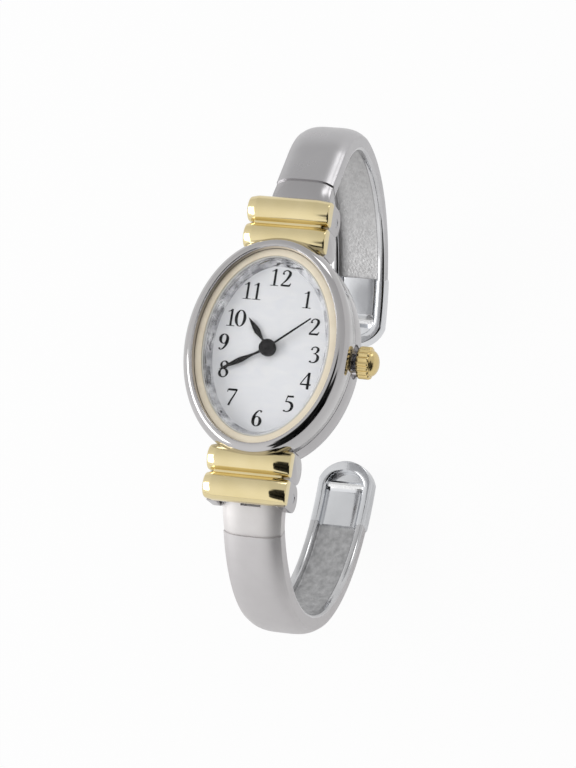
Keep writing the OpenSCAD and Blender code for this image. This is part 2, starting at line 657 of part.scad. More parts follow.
// Flexible circuit board with the chip that drives the motor
module circuit_board() color([0.2, 0.42, 0.28]) {
    difference() {
        translate([-5.4, -2.1, board_z]) cube([4.9, 5.7, 0.1]);
        for (q = posts) at(q, bridge_z - 1) cylinder(r = 0.5, h = 3);
        at(third_at, bridge_z - 1) cylinder(r = 0.2, h = 3);
    }
    translate([-2, 1.6, bridge_z - 0.5]) cube([1.3, 1.5, 0.4]);
}

module quartz_can() color(steel) translate([5.35, -6.3, plate_z - 0.7]) rotate([-90, 0, 0]) cylinder(r = 0.6, h = 4.2);

module stator() color(steel) difference() {
    translate([0, 0, level_2]) linear_extrude(0.25) polygon([
        [coil_x - 1.1, 3.4], [-0.2, 3.4], [-0.2, 2.75], [2.6, 2.75], [2.6, 3.4], [coil_x + coil_l + 1.1, 3.4],
        [coil_x + coil_l + 1.1, coil_y + 0.35], [coil_x + coil_l + 0.25, coil_y + 0.35],
        [coil_x + coil_l + 0.25, 4.3], [2.6, 4.3], [2.6, 4.8], [-0.2, 4.8], [-0.2, 4.3],
        [coil_x - 0.25, 4.3], [coil_x - 0.25, coil_y + 0.35], [coil_x - 1.1, coil_y + 0.35]
    ]);
    at(rotor_at, level_2 - 1) cylinder(r = 0.86, h = 3);
}

module coil_core() color(steel) translate([coil_x - 1.1, coil_y - 0.35, level_2 + 0.25 + press_gap])
    cube([coil_l + 2.2, 0.7, 0.25]);

module coil_winding() color([0.72, 0.40, 0.22]) difference() {
    x_rod(0.8, coil_l, coil_x, coil_y, level_2 + 0.38);
    translate([coil_x - 1, coil_y - 0.36, level_2 + 0.25]) cube([coil_l + 2, 0.72, 0.27]);
}

module battery() color(steel) at(battery_at, battery_z) {
    cylinder(r = battery_r, h = battery_h - 0.25);
    cylinder(r = battery_r - 0.35, h = battery_h);
}

module battery_clamp() color(steel) {
    translate([-0.8, battery_at[1] - battery_r + 0.2, battery_z - 0.17]) cube([1.6, clamp_l, 0.15]);
    translate([-0.8, battery_at[1] - battery_r + clamp_l, battery_z - 0.17])
        cube([1.6, 0.2, board_z - battery_z + 0.17 - press_gap]);
}

// A train wheel on its arbor, with pivots that run in the bridge and the main plate
module arbor(z0, z1, r = arbor_r) {
    translate([0, 0, z0]) cylinder(r = r, h = z1 - z0);
    translate([0, 0, bridge_z + 0.05]) cylinder(r = pivot_r, h = z0 - bridge_z - 0.05 + cut);
    translate([0, 0, z1 - cut]) cylinder(r = pivot_r, h = plate_z + 0.25 - z1);
}

module rotor() color(steel) at(rotor_at, 0) {
    arbor(train_z + gap, plate_z - gap);
    translate([0, 0, level_1 - gap]) wheel(rotor_leaves, size_of(rotor_gap, rotor_leaves, step_teeth), 0.25, rotor_angle + 180);
    translate([0, 0, level_1 + 0.3]) cylinder(r = 0.62, h = 0.5);
}

module step_wheel() color(brass) at(step_at, 0) {
    arbor(train_z + gap, plate_z - gap);
    translate([0, 0, level_1])
        wheel(step_teeth, size_of(rotor_gap, rotor_leaves, step_teeth), 0.13, rotor_angle + 180 / step_teeth);
    translate([0, 0, level_2 - gap])
        wheel(step_leaves, size_of(step_gap, step_leaves, seconds_teeth), 0.23, step_angle + 180);
}

// Seconds wheel on the long arbor that carries the seconds hand
module seconds_wheel() color(brass) {
    translate([0, 0, train_z + gap]) cylinder(r = arbor_r, h = seconds_hand_z + 0.1 - train_z - gap);
    translate([0, 0, bridge_z + 0.05]) cylinder(r = pivot_r, h = bridge_h + gap);
    translate([0, 0, level_1 - gap])
        wheel(seconds_leaves, size_of(third_gap, seconds_leaves, third_teeth), 0.25, third_angle);
    translate([0, 0, level_2])
        wheel(seconds_teeth, size_of(step_gap, step_leaves, seconds_teeth), 0.13, step_angle + 180 / seconds_teeth);
}

module third_wheel() color(brass) at(third_at, 0) {
    arbor(train_z + gap, plate_z - gap);
    translate([0, 0, level_1]) wheel(third_teeth, size_of(third_gap, seconds_leaves, third_teeth),
        0.13, third_angle + 180 + 180 / third_teeth);
    translate([0, 0, level_3 - 0.06])
        wheel(third_leaves, size_of(third_gap, third_leaves, centre_teeth), 0.28, third_angle + 180);
}

// Centre wheel on the tube that the cannon pinion grips by friction
module centre_wheel() color(brass) difference() {
    union() {
        translate([0, 0, level_3]) wheel(centre_teeth, size_of(third_gap, third_leaves, centre_teeth),
            0.14, third_angle + 180 / centre_teeth);
        translate([0, 0, level_3]) cylinder(r = centre_tube_r, h = motion_z + 0.35 - level_3);
    }
    cylinder(r = arbor_r + 0.04, h = 3 * plate_top);
}

module cannon_pinion() color(brass) difference() {
    union() {
        translate([0, 0, motion_z - 0.03]) wheel(cannon_teeth, size_of(motion_gap, cannon_teeth, minute_teeth), 0.25, 0);
        translate([0, 0, motion_z - 0.03]) cylinder(r = cannon_r, h = minute_hand_z + 0.15 - motion_z + 0.03);
    }
    translate([0, 0, motion_z - 1]) cylinder(r = centre_tube_r + 0.015, h = 1.37);
    cylinder(r = arbor_r + 0.04, h = 3 * plate_top);
}

module minute_wheel() color(brass) at(motion_at, 0) {
    translate([0, 0, motion_z]) wheel(minute_teeth, size_of(motion_gap, cannon_teeth, minute_teeth),
        0.15, 180 + 180 / minute_teeth);
    translate([0, 0, motion_z + 0.15 - cut])
        wheel(minute_leaves, size_of(motion_gap, minute_leaves, hour_teeth), 0.36, 180);
    translate([0, 0, plate_top - 0.3]) cylinder(r = arbor_r, h = 0.4);
}

module hour_wheel() color(brass) difference() {
    union() {
        translate([0, 0, motion_z + 0.34])
            wheel(hour_teeth, size_of(motion_gap, minute_leaves, hour_teeth), 0.15, 180 / hour_teeth);
        translate([0, 0, motion_z + 0.34]) cylinder(r = hour_tube_r, h = hour_hand_z + 0.08 - motion_z - 0.34);
    }
    cylinder(r = cannon_r + 0.04, h = 3 * plate_top);
}

// Leaf-shaped hand from the hub to its tip
module leaf_hand(length, half_w, bore, turn) rotate(-turn) difference() {
    linear_extrude(hand_t) polygon(concat(
        [for (i = [0:40]) let (a = 100 + 340 * i / 40) hub_r * [cos(a), sin(a)]],
        [
            [0.15, 0.24 * length], [half_w, 0.52 * length], [half_w * 0.9, 0.62 * length], [0.03, length],
            [-0.03, length], [-half_w * 0.9, 0.62 * length], [-half_w, 0.52 * length], [-0.15, 0.24 * length]
        ]
    ));
    translate([0, 0, -1]) cylinder(r = bore, h = 3);
}

module hour_hand() color([0.05, 0.05, 0.05]) at([0, 0], hour_hand_z)
    leaf_hand(hour_len, 0.36, hour_tube_r + press_gap, hours_now);

module minute_hand() color([0.05, 0.05, 0.05]) at([0, 0], minute_hand_z)
    leaf_hand(minute_len, 0.33, cannon_r + press_gap, minutes_now);

module seconds_hand() color([0.05, 0.05, 0.05]) at([0, 0], seconds_hand_z) difference() {
    rotate(-seconds_now) union() {
        cylinder(r = hub_r + 0.04, h = 0.16);
        translate([-seconds_w / 2, 0, 0.03]) cube([seconds_w, seconds_len, 0.07]);
    }
    translate([0, 0, -1]) cylinder(r = arbor_r + press_gap, h = 1.1 + press_gap);
}

case();
case_back();
back_gasket();
bezel();
inlay_ring();
crystal();
crystal_gasket();
rehaut();
dial();
lug_cover();  // lug_cover_12
mirror([0, 1, 0]) lug_cover();  // lug_cover_6
hinge_pin();  // hinge_pin_12
mirror([0, 1, 0]) hinge_pin();  // hinge_pin_6
hinge_spring();  // hinge_spring_12
mirror([0, 1, 0]) hinge_spring();  // hinge_spring_6
collar(upper);  // collar_12
arm_shell(upper);  // arm_12
end_cap(upper);  // end_cap_12
mirror([0, 1, 0]) collar(lower);  // collar_6
mirror([0, 1, 0]) arm_shell(lower);  // arm_6
mirror([0, 1, 0]) end_cap(lower);  // end_cap_6
crown_tube();
crown();
crown_gasket();
stem();
setting_pinion();
movement_holder();
main_plate();
train_bridge();
bridge_screws();
circuit_board();
quartz_can();
coil_core();
coil_winding();
stator();
battery();
battery_clamp();
rotor();
step_wheel();
seconds_wheel();
third_wheel();
centre_wheel();
cannon_pinion();
minute_wheel();
hour_wheel();
hour_hand();
minute_hand();
seconds_hand();
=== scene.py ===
"""Looks of the cuff watch: polished case and arms, gold ribbed lugs, white dial with black numerals.

Lengths are in millimetres until a mesh is made. X points to 3 o'clock, Y to 12 o'clock and Z out of the dial.
"""
import math
import bmesh
import bpy
import numpy as np
from mathutils import Matrix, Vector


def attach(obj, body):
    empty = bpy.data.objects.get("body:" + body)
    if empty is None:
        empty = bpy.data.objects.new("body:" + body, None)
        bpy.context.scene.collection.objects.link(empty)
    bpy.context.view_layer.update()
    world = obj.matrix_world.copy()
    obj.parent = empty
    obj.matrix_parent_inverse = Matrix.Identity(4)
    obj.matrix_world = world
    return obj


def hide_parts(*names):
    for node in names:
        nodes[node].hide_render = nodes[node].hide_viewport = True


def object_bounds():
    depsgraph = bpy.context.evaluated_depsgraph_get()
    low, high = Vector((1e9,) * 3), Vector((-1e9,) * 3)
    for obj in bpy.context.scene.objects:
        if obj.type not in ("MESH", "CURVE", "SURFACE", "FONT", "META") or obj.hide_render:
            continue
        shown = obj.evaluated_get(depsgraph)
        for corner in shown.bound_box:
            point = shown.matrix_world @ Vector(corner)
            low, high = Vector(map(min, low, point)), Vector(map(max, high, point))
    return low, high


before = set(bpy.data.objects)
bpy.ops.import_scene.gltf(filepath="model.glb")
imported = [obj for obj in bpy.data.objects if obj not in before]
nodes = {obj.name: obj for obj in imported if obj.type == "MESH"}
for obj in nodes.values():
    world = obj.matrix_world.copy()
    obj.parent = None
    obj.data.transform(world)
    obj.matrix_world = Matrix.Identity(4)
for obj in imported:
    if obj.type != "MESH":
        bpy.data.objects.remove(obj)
size_before = [list(corner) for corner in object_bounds()]

# Case body
# Polished steel-coloured casting: an oval band with two round-bottomed lug lobes at each end. The outer lobe is
# slotted for the arm's knuckles, and its two cheeks carry the bore of the hinge pin.
mm = 0.001
case_a, case_b = 9.6, 12.75
case_wall, back_h, seam_z = 1.2, 1.0, 3.9
spigot_in, spigot_z = 0.63, 5.3
hinge_y, hinge_z = 16.2, 2.2
rib_r, rib_pitch, rib_l, cover_z = 1.62, 3.2, 9.7, 5.0
neck_w, knuckle_r, pin_r = 7.24, 1.2, 0.5
slot_top, slot_fit, pin_fit = 4.3, 0.05, 0.01
lug_w, lug_top = rib_l / 2 - 0.2, cover_z - 0.05
roof_y, web_y, roof_l = (14.5, 17.8), (14.4, 14.86), 3.8
crown_z, crown_r = 2.9, 1.86
recess_x, recess_end, recess_fit = 9.1, 13, 0.12
crisp_from = 32


def full_turn(n):
    """n even angles over a full turn."""
    return np.linspace(0, 2 * np.pi, n, endpoint=False)


def oval(off, n=288):
    """The case outline moved inward by off: (a cos t, b sin t) less off times the unit normal, t over a full turn."""
    t = full_turn(n)
    off = np.atleast_1d(off)[:, None]
    k = np.hypot(case_b * np.cos(t), case_a * np.sin(t))
    return np.stack([case_a * np.cos(t) - off * case_b * np.cos(t) / k,
                     case_b * np.sin(t) - off * case_a * np.sin(t) / k], -1)


def oval_sweep(section, n=288):
    """A section of (inward offset, height) carried round the case outline: one column of points per angle."""
    section = np.asarray(section, float)
    flat = oval(section[:, 0], n)
    high = np.broadcast_to(section[:, 1][:, None, None], flat.shape[:2] + (1,))
    return np.concatenate([flat, high], -1)


def soft(corners, radii, n=4):
    """A closed outline whose corners are curves (1-t)^2 a + 2t(1-t) corner + t^2 b, where a and b lie radius before
    and after the corner: n + 1 points to each corner."""
    p = np.asarray(corners, float)
    r = np.broadcast_to(np.asarray(radii, float), len(p))[:, None]
    back, on = np.roll(p, 1, 0) - p, np.roll(p, -1, 0) - p
    a = p + back / np.linalg.norm(back, axis=1)[:, None] * r
    b = p + on / np.linalg.norm(on, axis=1)[:, None] * r
    t = np.linspace(0, 1, n + 1)[None, :, None]
    return ((1 - t) ** 2 * a[:, None] + 2 * t * (1 - t) * p[:, None] + t ** 2 * b[:, None]).reshape(-1, 2)


def made_of(name, sheets, sharp=crisp_from, **masks):
    """One closed mesh from sheets of points: each is (points by row and column, rows closed, columns closed).
    Doubles are merged, open rims filled with flat ends, faces turned outward, and edges over sharp degrees kept
    crisp. Each mask is a value for every point, kept as an attribute under its name."""
    points, faces, start = [], [], 0
    for grid, wrap_rows, wrap_columns in sheets:
        rows, columns = grid.shape[:2]
        index = start + np.arange(rows * columns).reshape(rows, columns)
        if wrap_rows:
            index = np.concatenate([index, index[:1]], 0)
        if wrap_columns:
            index = np.concatenate([index, index[:, :1]], 1)
        faces.append(np.stack([index[:-1, :-1], index[1:, :-1], index[1:, 1:], index[:-1, 1:]], -1).reshape(-1, 4))
        points.append(grid.reshape(-1, 3))
        start += rows * columns
    mesh = bpy.data.meshes.new(name)
    mesh.from_pydata((np.concatenate(points) * mm).tolist(), [], np.concatenate(faces).tolist())
    for label, values in masks.items():
        mask = mesh.attributes.new(label, "FLOAT", "POINT")
        mask.data.foreach_set("value", np.ravel(values).astype(np.float32))
    work = bmesh.new()
    work.from_mesh(mesh)
    bmesh.ops.remove_doubles(work, verts=work.verts, dist=2e-7)
    bmesh.ops.dissolve_degenerate(work, edges=work.edges, dist=1e-7)
    bmesh.ops.holes_fill(work, edges=[e for e in work.edges if e.is_boundary], sides=0)
    bmesh.ops.recalc_face_normals(work, faces=work.faces)
    work.to_mesh(mesh)
    work.free()
    corners = np.empty(len(mesh.polygons), np.int32)
    mesh.polygons.foreach_get("loop_total", corners)
    mesh.polygons.foreach_set("use_smooth", corners < 5)
    mesh.set_sharp_from_angle(angle=math.radians(sharp))
    piece = bpy.data.objects.new(name, mesh)
    bpy.context.scene.collection.objects.link(piece)
    return piece


def carve(piece, cutter):
    """The piece less the cutter, an exact difference made into the piece's own mesh. The cutter is then removed."""
    cut = piece.modifiers.new("cut", "BOOLEAN")
    cut.object, cut.operation, cut.solver = cutter, "DIFFERENCE", "EXACT"
    bpy.context.view_layer.update()
    done = bpy.data.meshes.new_from_object(piece.evaluated_get(bpy.context.evaluated_depsgraph_get()))
    piece.modifiers.clear()
    piece.data = done
    done.set_sharp_from_angle(angle=math.radians(crisp_from))
    bpy.data.objects.remove(cutter)
    return piece


def turned(profile, at, axis):
    """A profile of (radius, along) turned about an axis: at + along * axis + radius (cos t u + sin t v)."""
    profile = np.asarray(profile, float)
    axis = np.asarray(axis, float)
    u = np.cross(axis, [0.0, 0.0, 1.0] if abs(axis[2]) < 0.9 else [1.0, 0.0, 0.0])
    v = np.cross(axis, u)
    t = full_turn(96)[None, :, None]
    along, radius = profile[:, 1, None, None], profile[:, 0, None, None]
    return np.asarray(at) + along * axis + radius * (np.cos(t) * u + np.sin(t) * v)


def across(outline, half_l, bevel=0.1):
    """An outline in (y, z) drawn from -half_l to half_l along x. At its ends it shrinks along its normal by
    bevel (1 - sin t), while x goes in by bevel (1 - cos t)."""
    outline = np.asarray(outline, float)
    t = np.linspace(0, np.pi / 2, 4)
    into, less = bevel * (1 - np.cos(t)), bevel * (1 - np.sin(t))
    x = np.concatenate([into - half_l, half_l - into[::-1]])
    shrink = np.concatenate([less, less[::-1]])
    tangent = np.roll(outline, -1, 0) - np.roll(outline, 1, 0)
    normal = np.stack([tangent[:, 1], -tangent[:, 0]], -1) / np.linalg.norm(tangent, axis=1)[:, None]
    flat = outline[None] - shrink[:, None, None] * normal[None]
    return np.concatenate([np.broadcast_to(x[:, None, None], flat.shape[:2] + (1,)), flat], -1)


def bar(y, z, half_l, radii, bevel):
    """A bar along x between two values of y and of z. Its long edges are rounded by radii, which start at the edge of
    the smaller y and z and go on by y."""
    return across(soft([[y[0], z[0]], [y[1], z[0]], [y[1], z[1]], [y[0], z[1]]], radii), half_l, bevel)


def lobe(y, r, top):
    """A lug lobe's outline in (y, z): half a circle of radius r below the hinge, straight sides up to top, and a flat
    lid."""
    t = np.linspace(np.pi, 2 * np.pi, 28)
    foot = np.stack([y + r * np.cos(t), hinge_z + r * np.sin(t)], -1)
    up = np.linspace(hinge_z, top, 12)[1:]
    side = np.stack([np.full(len(up), y + r), up], -1)
    lid = np.stack([np.linspace(y + r, y - r, 12)[1:], np.full(11, top)], -1)
    return np.concatenate([foot, side, lid, side[::-1][1:] * [0, 1] + [y - r, 0]])


def cheek(x0, x1, y, r, top, bore, bevel=0.1, inset=0.03, chamfer=0.06):
    """A cheek round the pin bore: rings of points from the bore to the lobe's outline at x0 and x1. The outline's
    distance at angle t is r below the hinge, and the smaller of r / |cos t| and height / sin t above it."""
    t = full_turn(96)
    c, s = np.cos(t), np.sin(t)
    reach = np.minimum(np.where(s < 0, r, r / np.maximum(np.abs(c), 1e-6)),
                       np.where(s > 0, (top - hinge_z) / np.maximum(s, 1e-6), 1e6))
    edge = [(bevel * (1 - math.cos(a)), reach - bevel * (1 - math.sin(a))) for a in np.linspace(0, np.pi / 2, 4)]
    rings = [(x0, bore + 0 * t)] + [(x0 + into, q) for into, q in edge] + [(x1 - into, q) for into, q in edge[::-1]]
    rings += [(x1, reach - bevel - inset), (x1, bore + chamfer + inset + 0 * t), (x1, bore + chamfer + 0 * t),
              (x1 - chamfer, bore + 0 * t)]
    return np.stack([np.stack([0 * t + x, y + q * c, hinge_z + q * s], -1) for x, q in rings])


def upper(grid):
    """Points as they are drawn, at 12 o'clock."""
    return grid


def lower(grid):
    """The same points at 6 o'clock."""
    return grid * [1, -1, 1]


def mirror_x(grid):
    """The same points on the other side of the watch's middle line."""
    return grid * [-1, 1, 1]


def crown_recess():
    """A cutter for the round recess in case and bezel that the crown goes into."""
    rim = crown_r + recess_fit
    wall = turned([[rim, recess_x], [rim, recess_end]], [0, 0, crown_z], [1, 0, 0])
    return made_of("recess", [(wall, False, True)])


inner_lobe = across(lobe(hinge_y - rib_pitch, rib_r, lug_top), lug_w)
outer_cheek = cheek(neck_w / 2 + slot_fit, lug_w, hinge_y, rib_r, lug_top, pin_r + pin_fit)
roof = bar(roof_y, (slot_top, lug_top), roof_l, 0.05, 0.02)
web = bar(web_y, (hinge_z, slot_top + 0.1), roof_l, 0.03, 0.02)
band = oval_sweep(soft([[0, back_h], [0, seam_z], [case_wall, seam_z], [case_wall, back_h]],
                       [0.12, 0.06, 0.06, 0.06]))
spigot = oval_sweep(soft([[spigot_in, seam_z - 0.1], [spigot_in, spigot_z], [case_wall, spigot_z],
                          [case_wall, seam_z - 0.1]], 0.05))
case = made_of("case_body", [(band, True, True), (spigot, True, True)] + [
    (end(g), False, True) for end in (upper, lower) for g in (inner_lobe, roof, web)
] + [(end(side(outer_cheek)), True, True) for end in (upper, lower) for side in (upper, mirror_x)])
carve(case, crown_recess())


def shader_node(tree, kind, *first, **named):
    """A new node. Unnamed values go to its first inputs, capitalised names are inputs, and small ones are settings of
    the node itself. Another node's output is linked, and any other value is set."""
    made = tree.nodes.new("ShaderNode" + kind)
    for label, value in named.items():
        if label.islower():
            setattr(made, label, value)
    for label, value in [*enumerate(first), *named.items()]:
        if isinstance(label, str):
            if label.islower():
                continue
            label = label.replace("_", " ")
        if isinstance(value, bpy.types.NodeSocket):
            tree.links.new(value, made.inputs[label])
        else:
            made.inputs[label].default_value = value
    return made


def fine_variation():
    """Node group: noise on stretched Object coordinates. Its mask is the noise's 0.3 to 0.7 spread over 0 to 1, and
    its value goes from low to high as the mask goes from 0 to 1."""
    tree = bpy.data.node_groups.new("fine_variation", "ShaderNodeTree")
    for label, way, kind in (("Scale", "INPUT", "Float"), ("Stretch", "INPUT", "Vector"), ("Low", "INPUT", "Float"),
                             ("High", "INPUT", "Float"), ("Value", "OUTPUT", "Float"), ("Mask", "OUTPUT", "Float")):
        tree.interface.new_socket(label, in_out=way, socket_type="NodeSocket" + kind)
    given, out = tree.nodes.new("NodeGroupInput").outputs, tree.nodes.new("NodeGroupOutput").inputs
    place = shader_node(tree, "TexCoord").outputs["Object"]
    stretched = shader_node(tree, "Mapping", Vector=place, Scale=given["Stretch"]).outputs["Vector"]
    noise = shader_node(tree, "TexNoise", Vector=stretched, Scale=given["Scale"], Detail=3.0).outputs["Fac"]
    mask = shader_node(tree, "MapRange", Value=noise, From_Min=0.3, From_Max=0.7).outputs["Result"]
    value = shader_node(tree, "MapRange", Value=mask, To_Min=given["Low"], To_Max=given["High"]).outputs["Result"]
    tree.links.new(value, out["Value"])
    tree.links.new(mask, out["Mask"])
    return tree


variation = fine_variation()


def varied(tree, scale, stretch, low=0.0, high=1.0):
    """The outputs of the fine variation, placed in a material with its own scale, stretch and range."""
    return shader_node(tree, "Group", node_tree=variation, Scale=scale, Stretch=stretch, Low=low, High=high).outputs


def tone_between(tree, dark, light, mask):
    """A colour that runs from dark to light with a mask."""
    return shader_node(tree, "Mix", data_type="RGBA", Factor=mask, A=(*dark, 1), B=(*light, 1)).outputs["Result"]


def bare_finish(name, **given):
    """A new material, its tree and its Principled shader, whose constant values are set on its own sockets."""
    material = bpy.data.materials.new(name)
    material.use_nodes = True
    shader = material.node_tree.nodes["Principled BSDF"]
    for label, value in given.items():
        shader.inputs[label.replace("_", " ")].default_value = value
    return material, material.node_tree, shader


def finish(name, dark, light, metal, rough, scale=300, stretch=(1, 1, 1), grain=None, ior=1.5):
    """A surface whose colour runs from dark to light with a broad noise, its roughness over the range rough with one
    3.1 times finer, and its grain, as (scale, stretch, depth in mm), through a Bump node."""
    material, tree, shader = bare_finish(name, Metallic=metal, IOR=ior)
    tone = tone_between(tree, dark, light, varied(tree, scale, stretch)["Mask"])
    tree.links.new(tone, shader.inputs["Base Color"])
    tree.links.new(varied(tree, scale * 3.1, stretch, *rough)["Value"], shader.inputs["Roughness"])
    if grain:
        fine, pull, depth = grain
        bump = shader_node(tree, "Bump", Distance=depth * mm, Height=varied(tree, fine, pull)["Value"])
        tree.links.new(bump.outputs["Normal"], shader.inputs["Normal"])
    return material


def dress(piece, material, body=None, stands_for=()):
    """Gives a piece its finish, the body it rides on and the CAD nodes it stands for."""
    piece.data.materials.clear()
    piece.data.materials.append(material)
    if body:
        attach(piece, body)
    if stands_for:
        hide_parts(*stands_for)
    return piece


def finish_nodes(names, material):
    """The same for CAD nodes that are shown as they are."""
    for name in names:
        dress(nodes[name], material)


even = (1, 1, 1)
polished = finish("polished_silver", (0.457, 0.443, 0.452), (0.497, 0.483, 0.492), 1.0, (0.11, 0.16), 260,
                  grain=(900, even, 0.0003))
dress(case, polished, "watch_head", ["case"])

# Case back
# Stamped snap-on back: a raised flat with a fine straight brushing inside a polished rim, and a thin lip that
# presses into the case over the rubber ring.
back_lip = [1.75, 1.5]
back_rim = [back_lip, [1.27, 1.5], [1.27, 1.02], [0.17, 1.0], [0.15, 0.95], [0.15, 0.5], [0.2, 0.40], [0.3, 0.36],
            [1.05, 0.35], [1.12, 0.33], [1.15, 0.28], [1.16, 0.06], [1.22, 0.01], [1.35, 0.0]]


def oval_lid(rim):
    """A plate whose rim is a list of (inward offset, height), closed by rings: the last one times 7/8, 6/8 ... 0."""
    grid = oval_sweep(rim)
    inner = grid[-1][None] * np.array([1.0, 1.0, 0])[None, None] * np.linspace(1, 0, 9)[1:, None, None]
    inner[..., 2] = rim[-1][1]
    return np.concatenate([grid, inner])


back_plate = np.concatenate([oval_lid([back_lip])[::-1], oval_lid(back_rim)])
case_back = made_of("back_plate", [(back_plate, False, True)])
back_satin = finish("brushed_back", (0.50, 0.50, 0.51), (0.58, 0.58, 0.59), 1.0, (0.26, 0.38), 500, (1, 14, 1),
                    (1800, (0.4, 14, 1), 0.002))
dress(case_back, back_satin, "watch_head", ["case_back"])

# Rubber rings
# Black nitrile rings, moulded: one in the case's step under the back and one in the crown, round the tube. Matte,
# with a faint bloom.
rubber = finish("black_rubber", (0.018, 0.018, 0.02), (0.035, 0.035, 0.037), 0.0, (0.55, 0.72), 700)
finish_nodes(["back_gasket", "crown_gasket"], rubber)

# Bezel
# Heavy rounded oval ring, cast and polished to a mirror, snapped over the neck of the case. Its inner slope runs
# down to the seat of the gold ring.
bezel_w, crest, inlay_in = 1.4, 1.17, 2.23
skirt_in, skirt_z, shoulder_z, bezel_top = 0.58, 3.95, 6.2, 7.88
flange_z, inlay_z, glass_top = 5.9, 6.6, 7.0
rise, fall = np.linspace(0, np.pi / 2, 16), np.linspace(0, np.pi / 2, 12)[1:]
bezel_section = np.concatenate([
    [[skirt_in, skirt_z], [0.12, skirt_z], [0.04, skirt_z + 0.03], [0.0, skirt_z + 0.1]],
    np.stack([crest * (1 - np.cos(rise)), shoulder_z + (bezel_top - shoulder_z) * np.sin(rise)], -1),
    np.stack([crest + (bezel_w - crest) * np.sin(fall),
              bezel_top - (bezel_top - glass_top) * (1 - np.cos(fall))], -1),
    [[bezel_w, inlay_z], [inlay_in, inlay_z], [inlay_in, flange_z], [skirt_in, flange_z]]
])
bezel = made_of("bezel_ring", [(oval_sweep(bezel_section, 320), True, True)])
carve(bezel, crown_recess())
mirror_silver = finish("mirror_silver", (0.51, 0.497, 0.50), (0.55, 0.537, 0.54), 1.0, (0.07, 0.11), 200,
                       grain=(500, even, 0.0002))
dress(bezel, mirror_silver, "watch_head", ["bezel"])

# Gold ring in the bezel
# Flat ring stamped from sheet, satin pale gold, with slightly rounded edges. It lies in a seat of the bezel, round
# the glass.
ring_out = bezel_w + 0.02
ring_section = soft([[ring_out, inlay_z], [ring_out, glass_top], [inlay_in, glass_top], [inlay_in, inlay_z]],
                    [0.02, 0.06, 0.06, 0.02], 3)
inlay = made_of("gold_ring", [(oval_sweep(ring_section), True, True)])
satin_gold = finish("satin_pale_gold", (0.85, 0.76, 0.605), (0.92, 0.835, 0.68), 1.0, (0.42, 0.52), 600,
                    grain=(2500, even, 0.0015))
dress(inlay, satin_gold, "watch_head", ["inlay_ring"])

# Crystal and its seat
# Flat mineral glass with a small polished chamfer, held by a thin ring of white nylon pressed round it.
glass_off, glass_z, glass_chamfer = 2.43, 6.4, 0.09
seat_out, seat_in, seat_top = 2.24, 2.42, 6.93
glass_foot = [glass_off + 0.02, glass_z]
glass_rim = [glass_foot, [glass_off, glass_z + 0.03], [glass_off, glass_top - glass_chamfer],
             [glass_off + glass_chamfer, glass_top]]
crystal = made_of("glass", [(np.concatenate([oval_lid([glass_foot])[::-1], oval_lid(glass_rim)[1:]]), False, True)])
clear, tree, shader = bare_finish("mineral_glass", Transmission_Weight=1.0, IOR=1.15)
tree.links.new(varied(tree, 240.0, even, 0.0, 0.012)["Value"], shader.inputs["Roughness"])
in_shadow = shader_node(tree, "LightPath").outputs["Is Shadow Ray"]
through = shader_node(tree, "BsdfTransparent").outputs[0]
blend = shader_node(tree, "MixShader", in_shadow, shader.outputs[0], through)
tree.links.new(blend.outputs[0], tree.nodes["Material Output"].inputs["Surface"])
dress(crystal, clear, "watch_head", ["crystal"])
seat_section = soft([[seat_out, glass_z], [seat_out, seat_top], [seat_in, seat_top], [seat_in, glass_z]], 0.03, 2)
seat_ring = made_of("nylon_seat_ring", [(oval_sweep(seat_section), True, True)])
nylon = finish("nylon_ring", (0.55, 0.54, 0.50), (0.62, 0.61, 0.57), 0.0, (0.35, 0.5), 500)
dress(seat_ring, nylon, "watch_head", ["crystal_gasket"])

# Inner ring
# Pressed metal ring that slopes from under the glass down to the dial, plated and polished, so that it mirrors
# the dial and its numerals. Its colour also runs in clouds from dark to near white: a painted reflection of them.
dial_top, dial_edge, dial_in = 5.35, 1.25, 3.1
slope_in, slope_out, slope_foot = 2.5, 2.25, flange_z - 0.05
slope_section = soft([[dial_edge, dial_top], [dial_in, dial_top], [slope_in, glass_z], [slope_out, glass_z],
                      [slope_out, slope_foot], [dial_edge, slope_foot]], [0.01, 0.03, 0.04, 0.01, 0.01, 0.01], 3)
slope = made_of("inner_ring", [(oval_sweep(slope_section, 320), True, True)])
# Colour clouds from dark to near-white metal: a painted reflection of the dial and its numerals.
slope_metal_painted_reflection = finish("plated_slope_painted_reflection", (0.26, 0.26, 0.28), (0.98, 0.98, 0.985), 1.0, (0.06, 0.2), 760, (1, 1, 0.4),
                     (900, (1, 1, 0.5), 0.03))
dress(slope, slope_metal_painted_reflection, "watch_head", ["rehaut"])

# Dial
# Brass blank under a skin of white mother-of-pearl lacquer, cut oval, with a hole for the hands' tubes. It is
# clamped under the inner ring.
dial_h, dial_hole = 0.4, 0.85


def dial_grid(z, rows):
    """A flat oval ring from the hole to the edge: (1 - u) times a circle plus u times the oval, u from 0 to 1."""
    edge = oval([dial_edge])[0]
    hole = dial_hole * edge / np.linalg.norm(edge, axis=1)[:, None]
    u = np.linspace(0, 1, rows)[:, None, None]
    flat = (1 - u) * hole + u * edge
    return np.concatenate([flat, np.full(flat.shape[:2] + (1,), z)], -1)


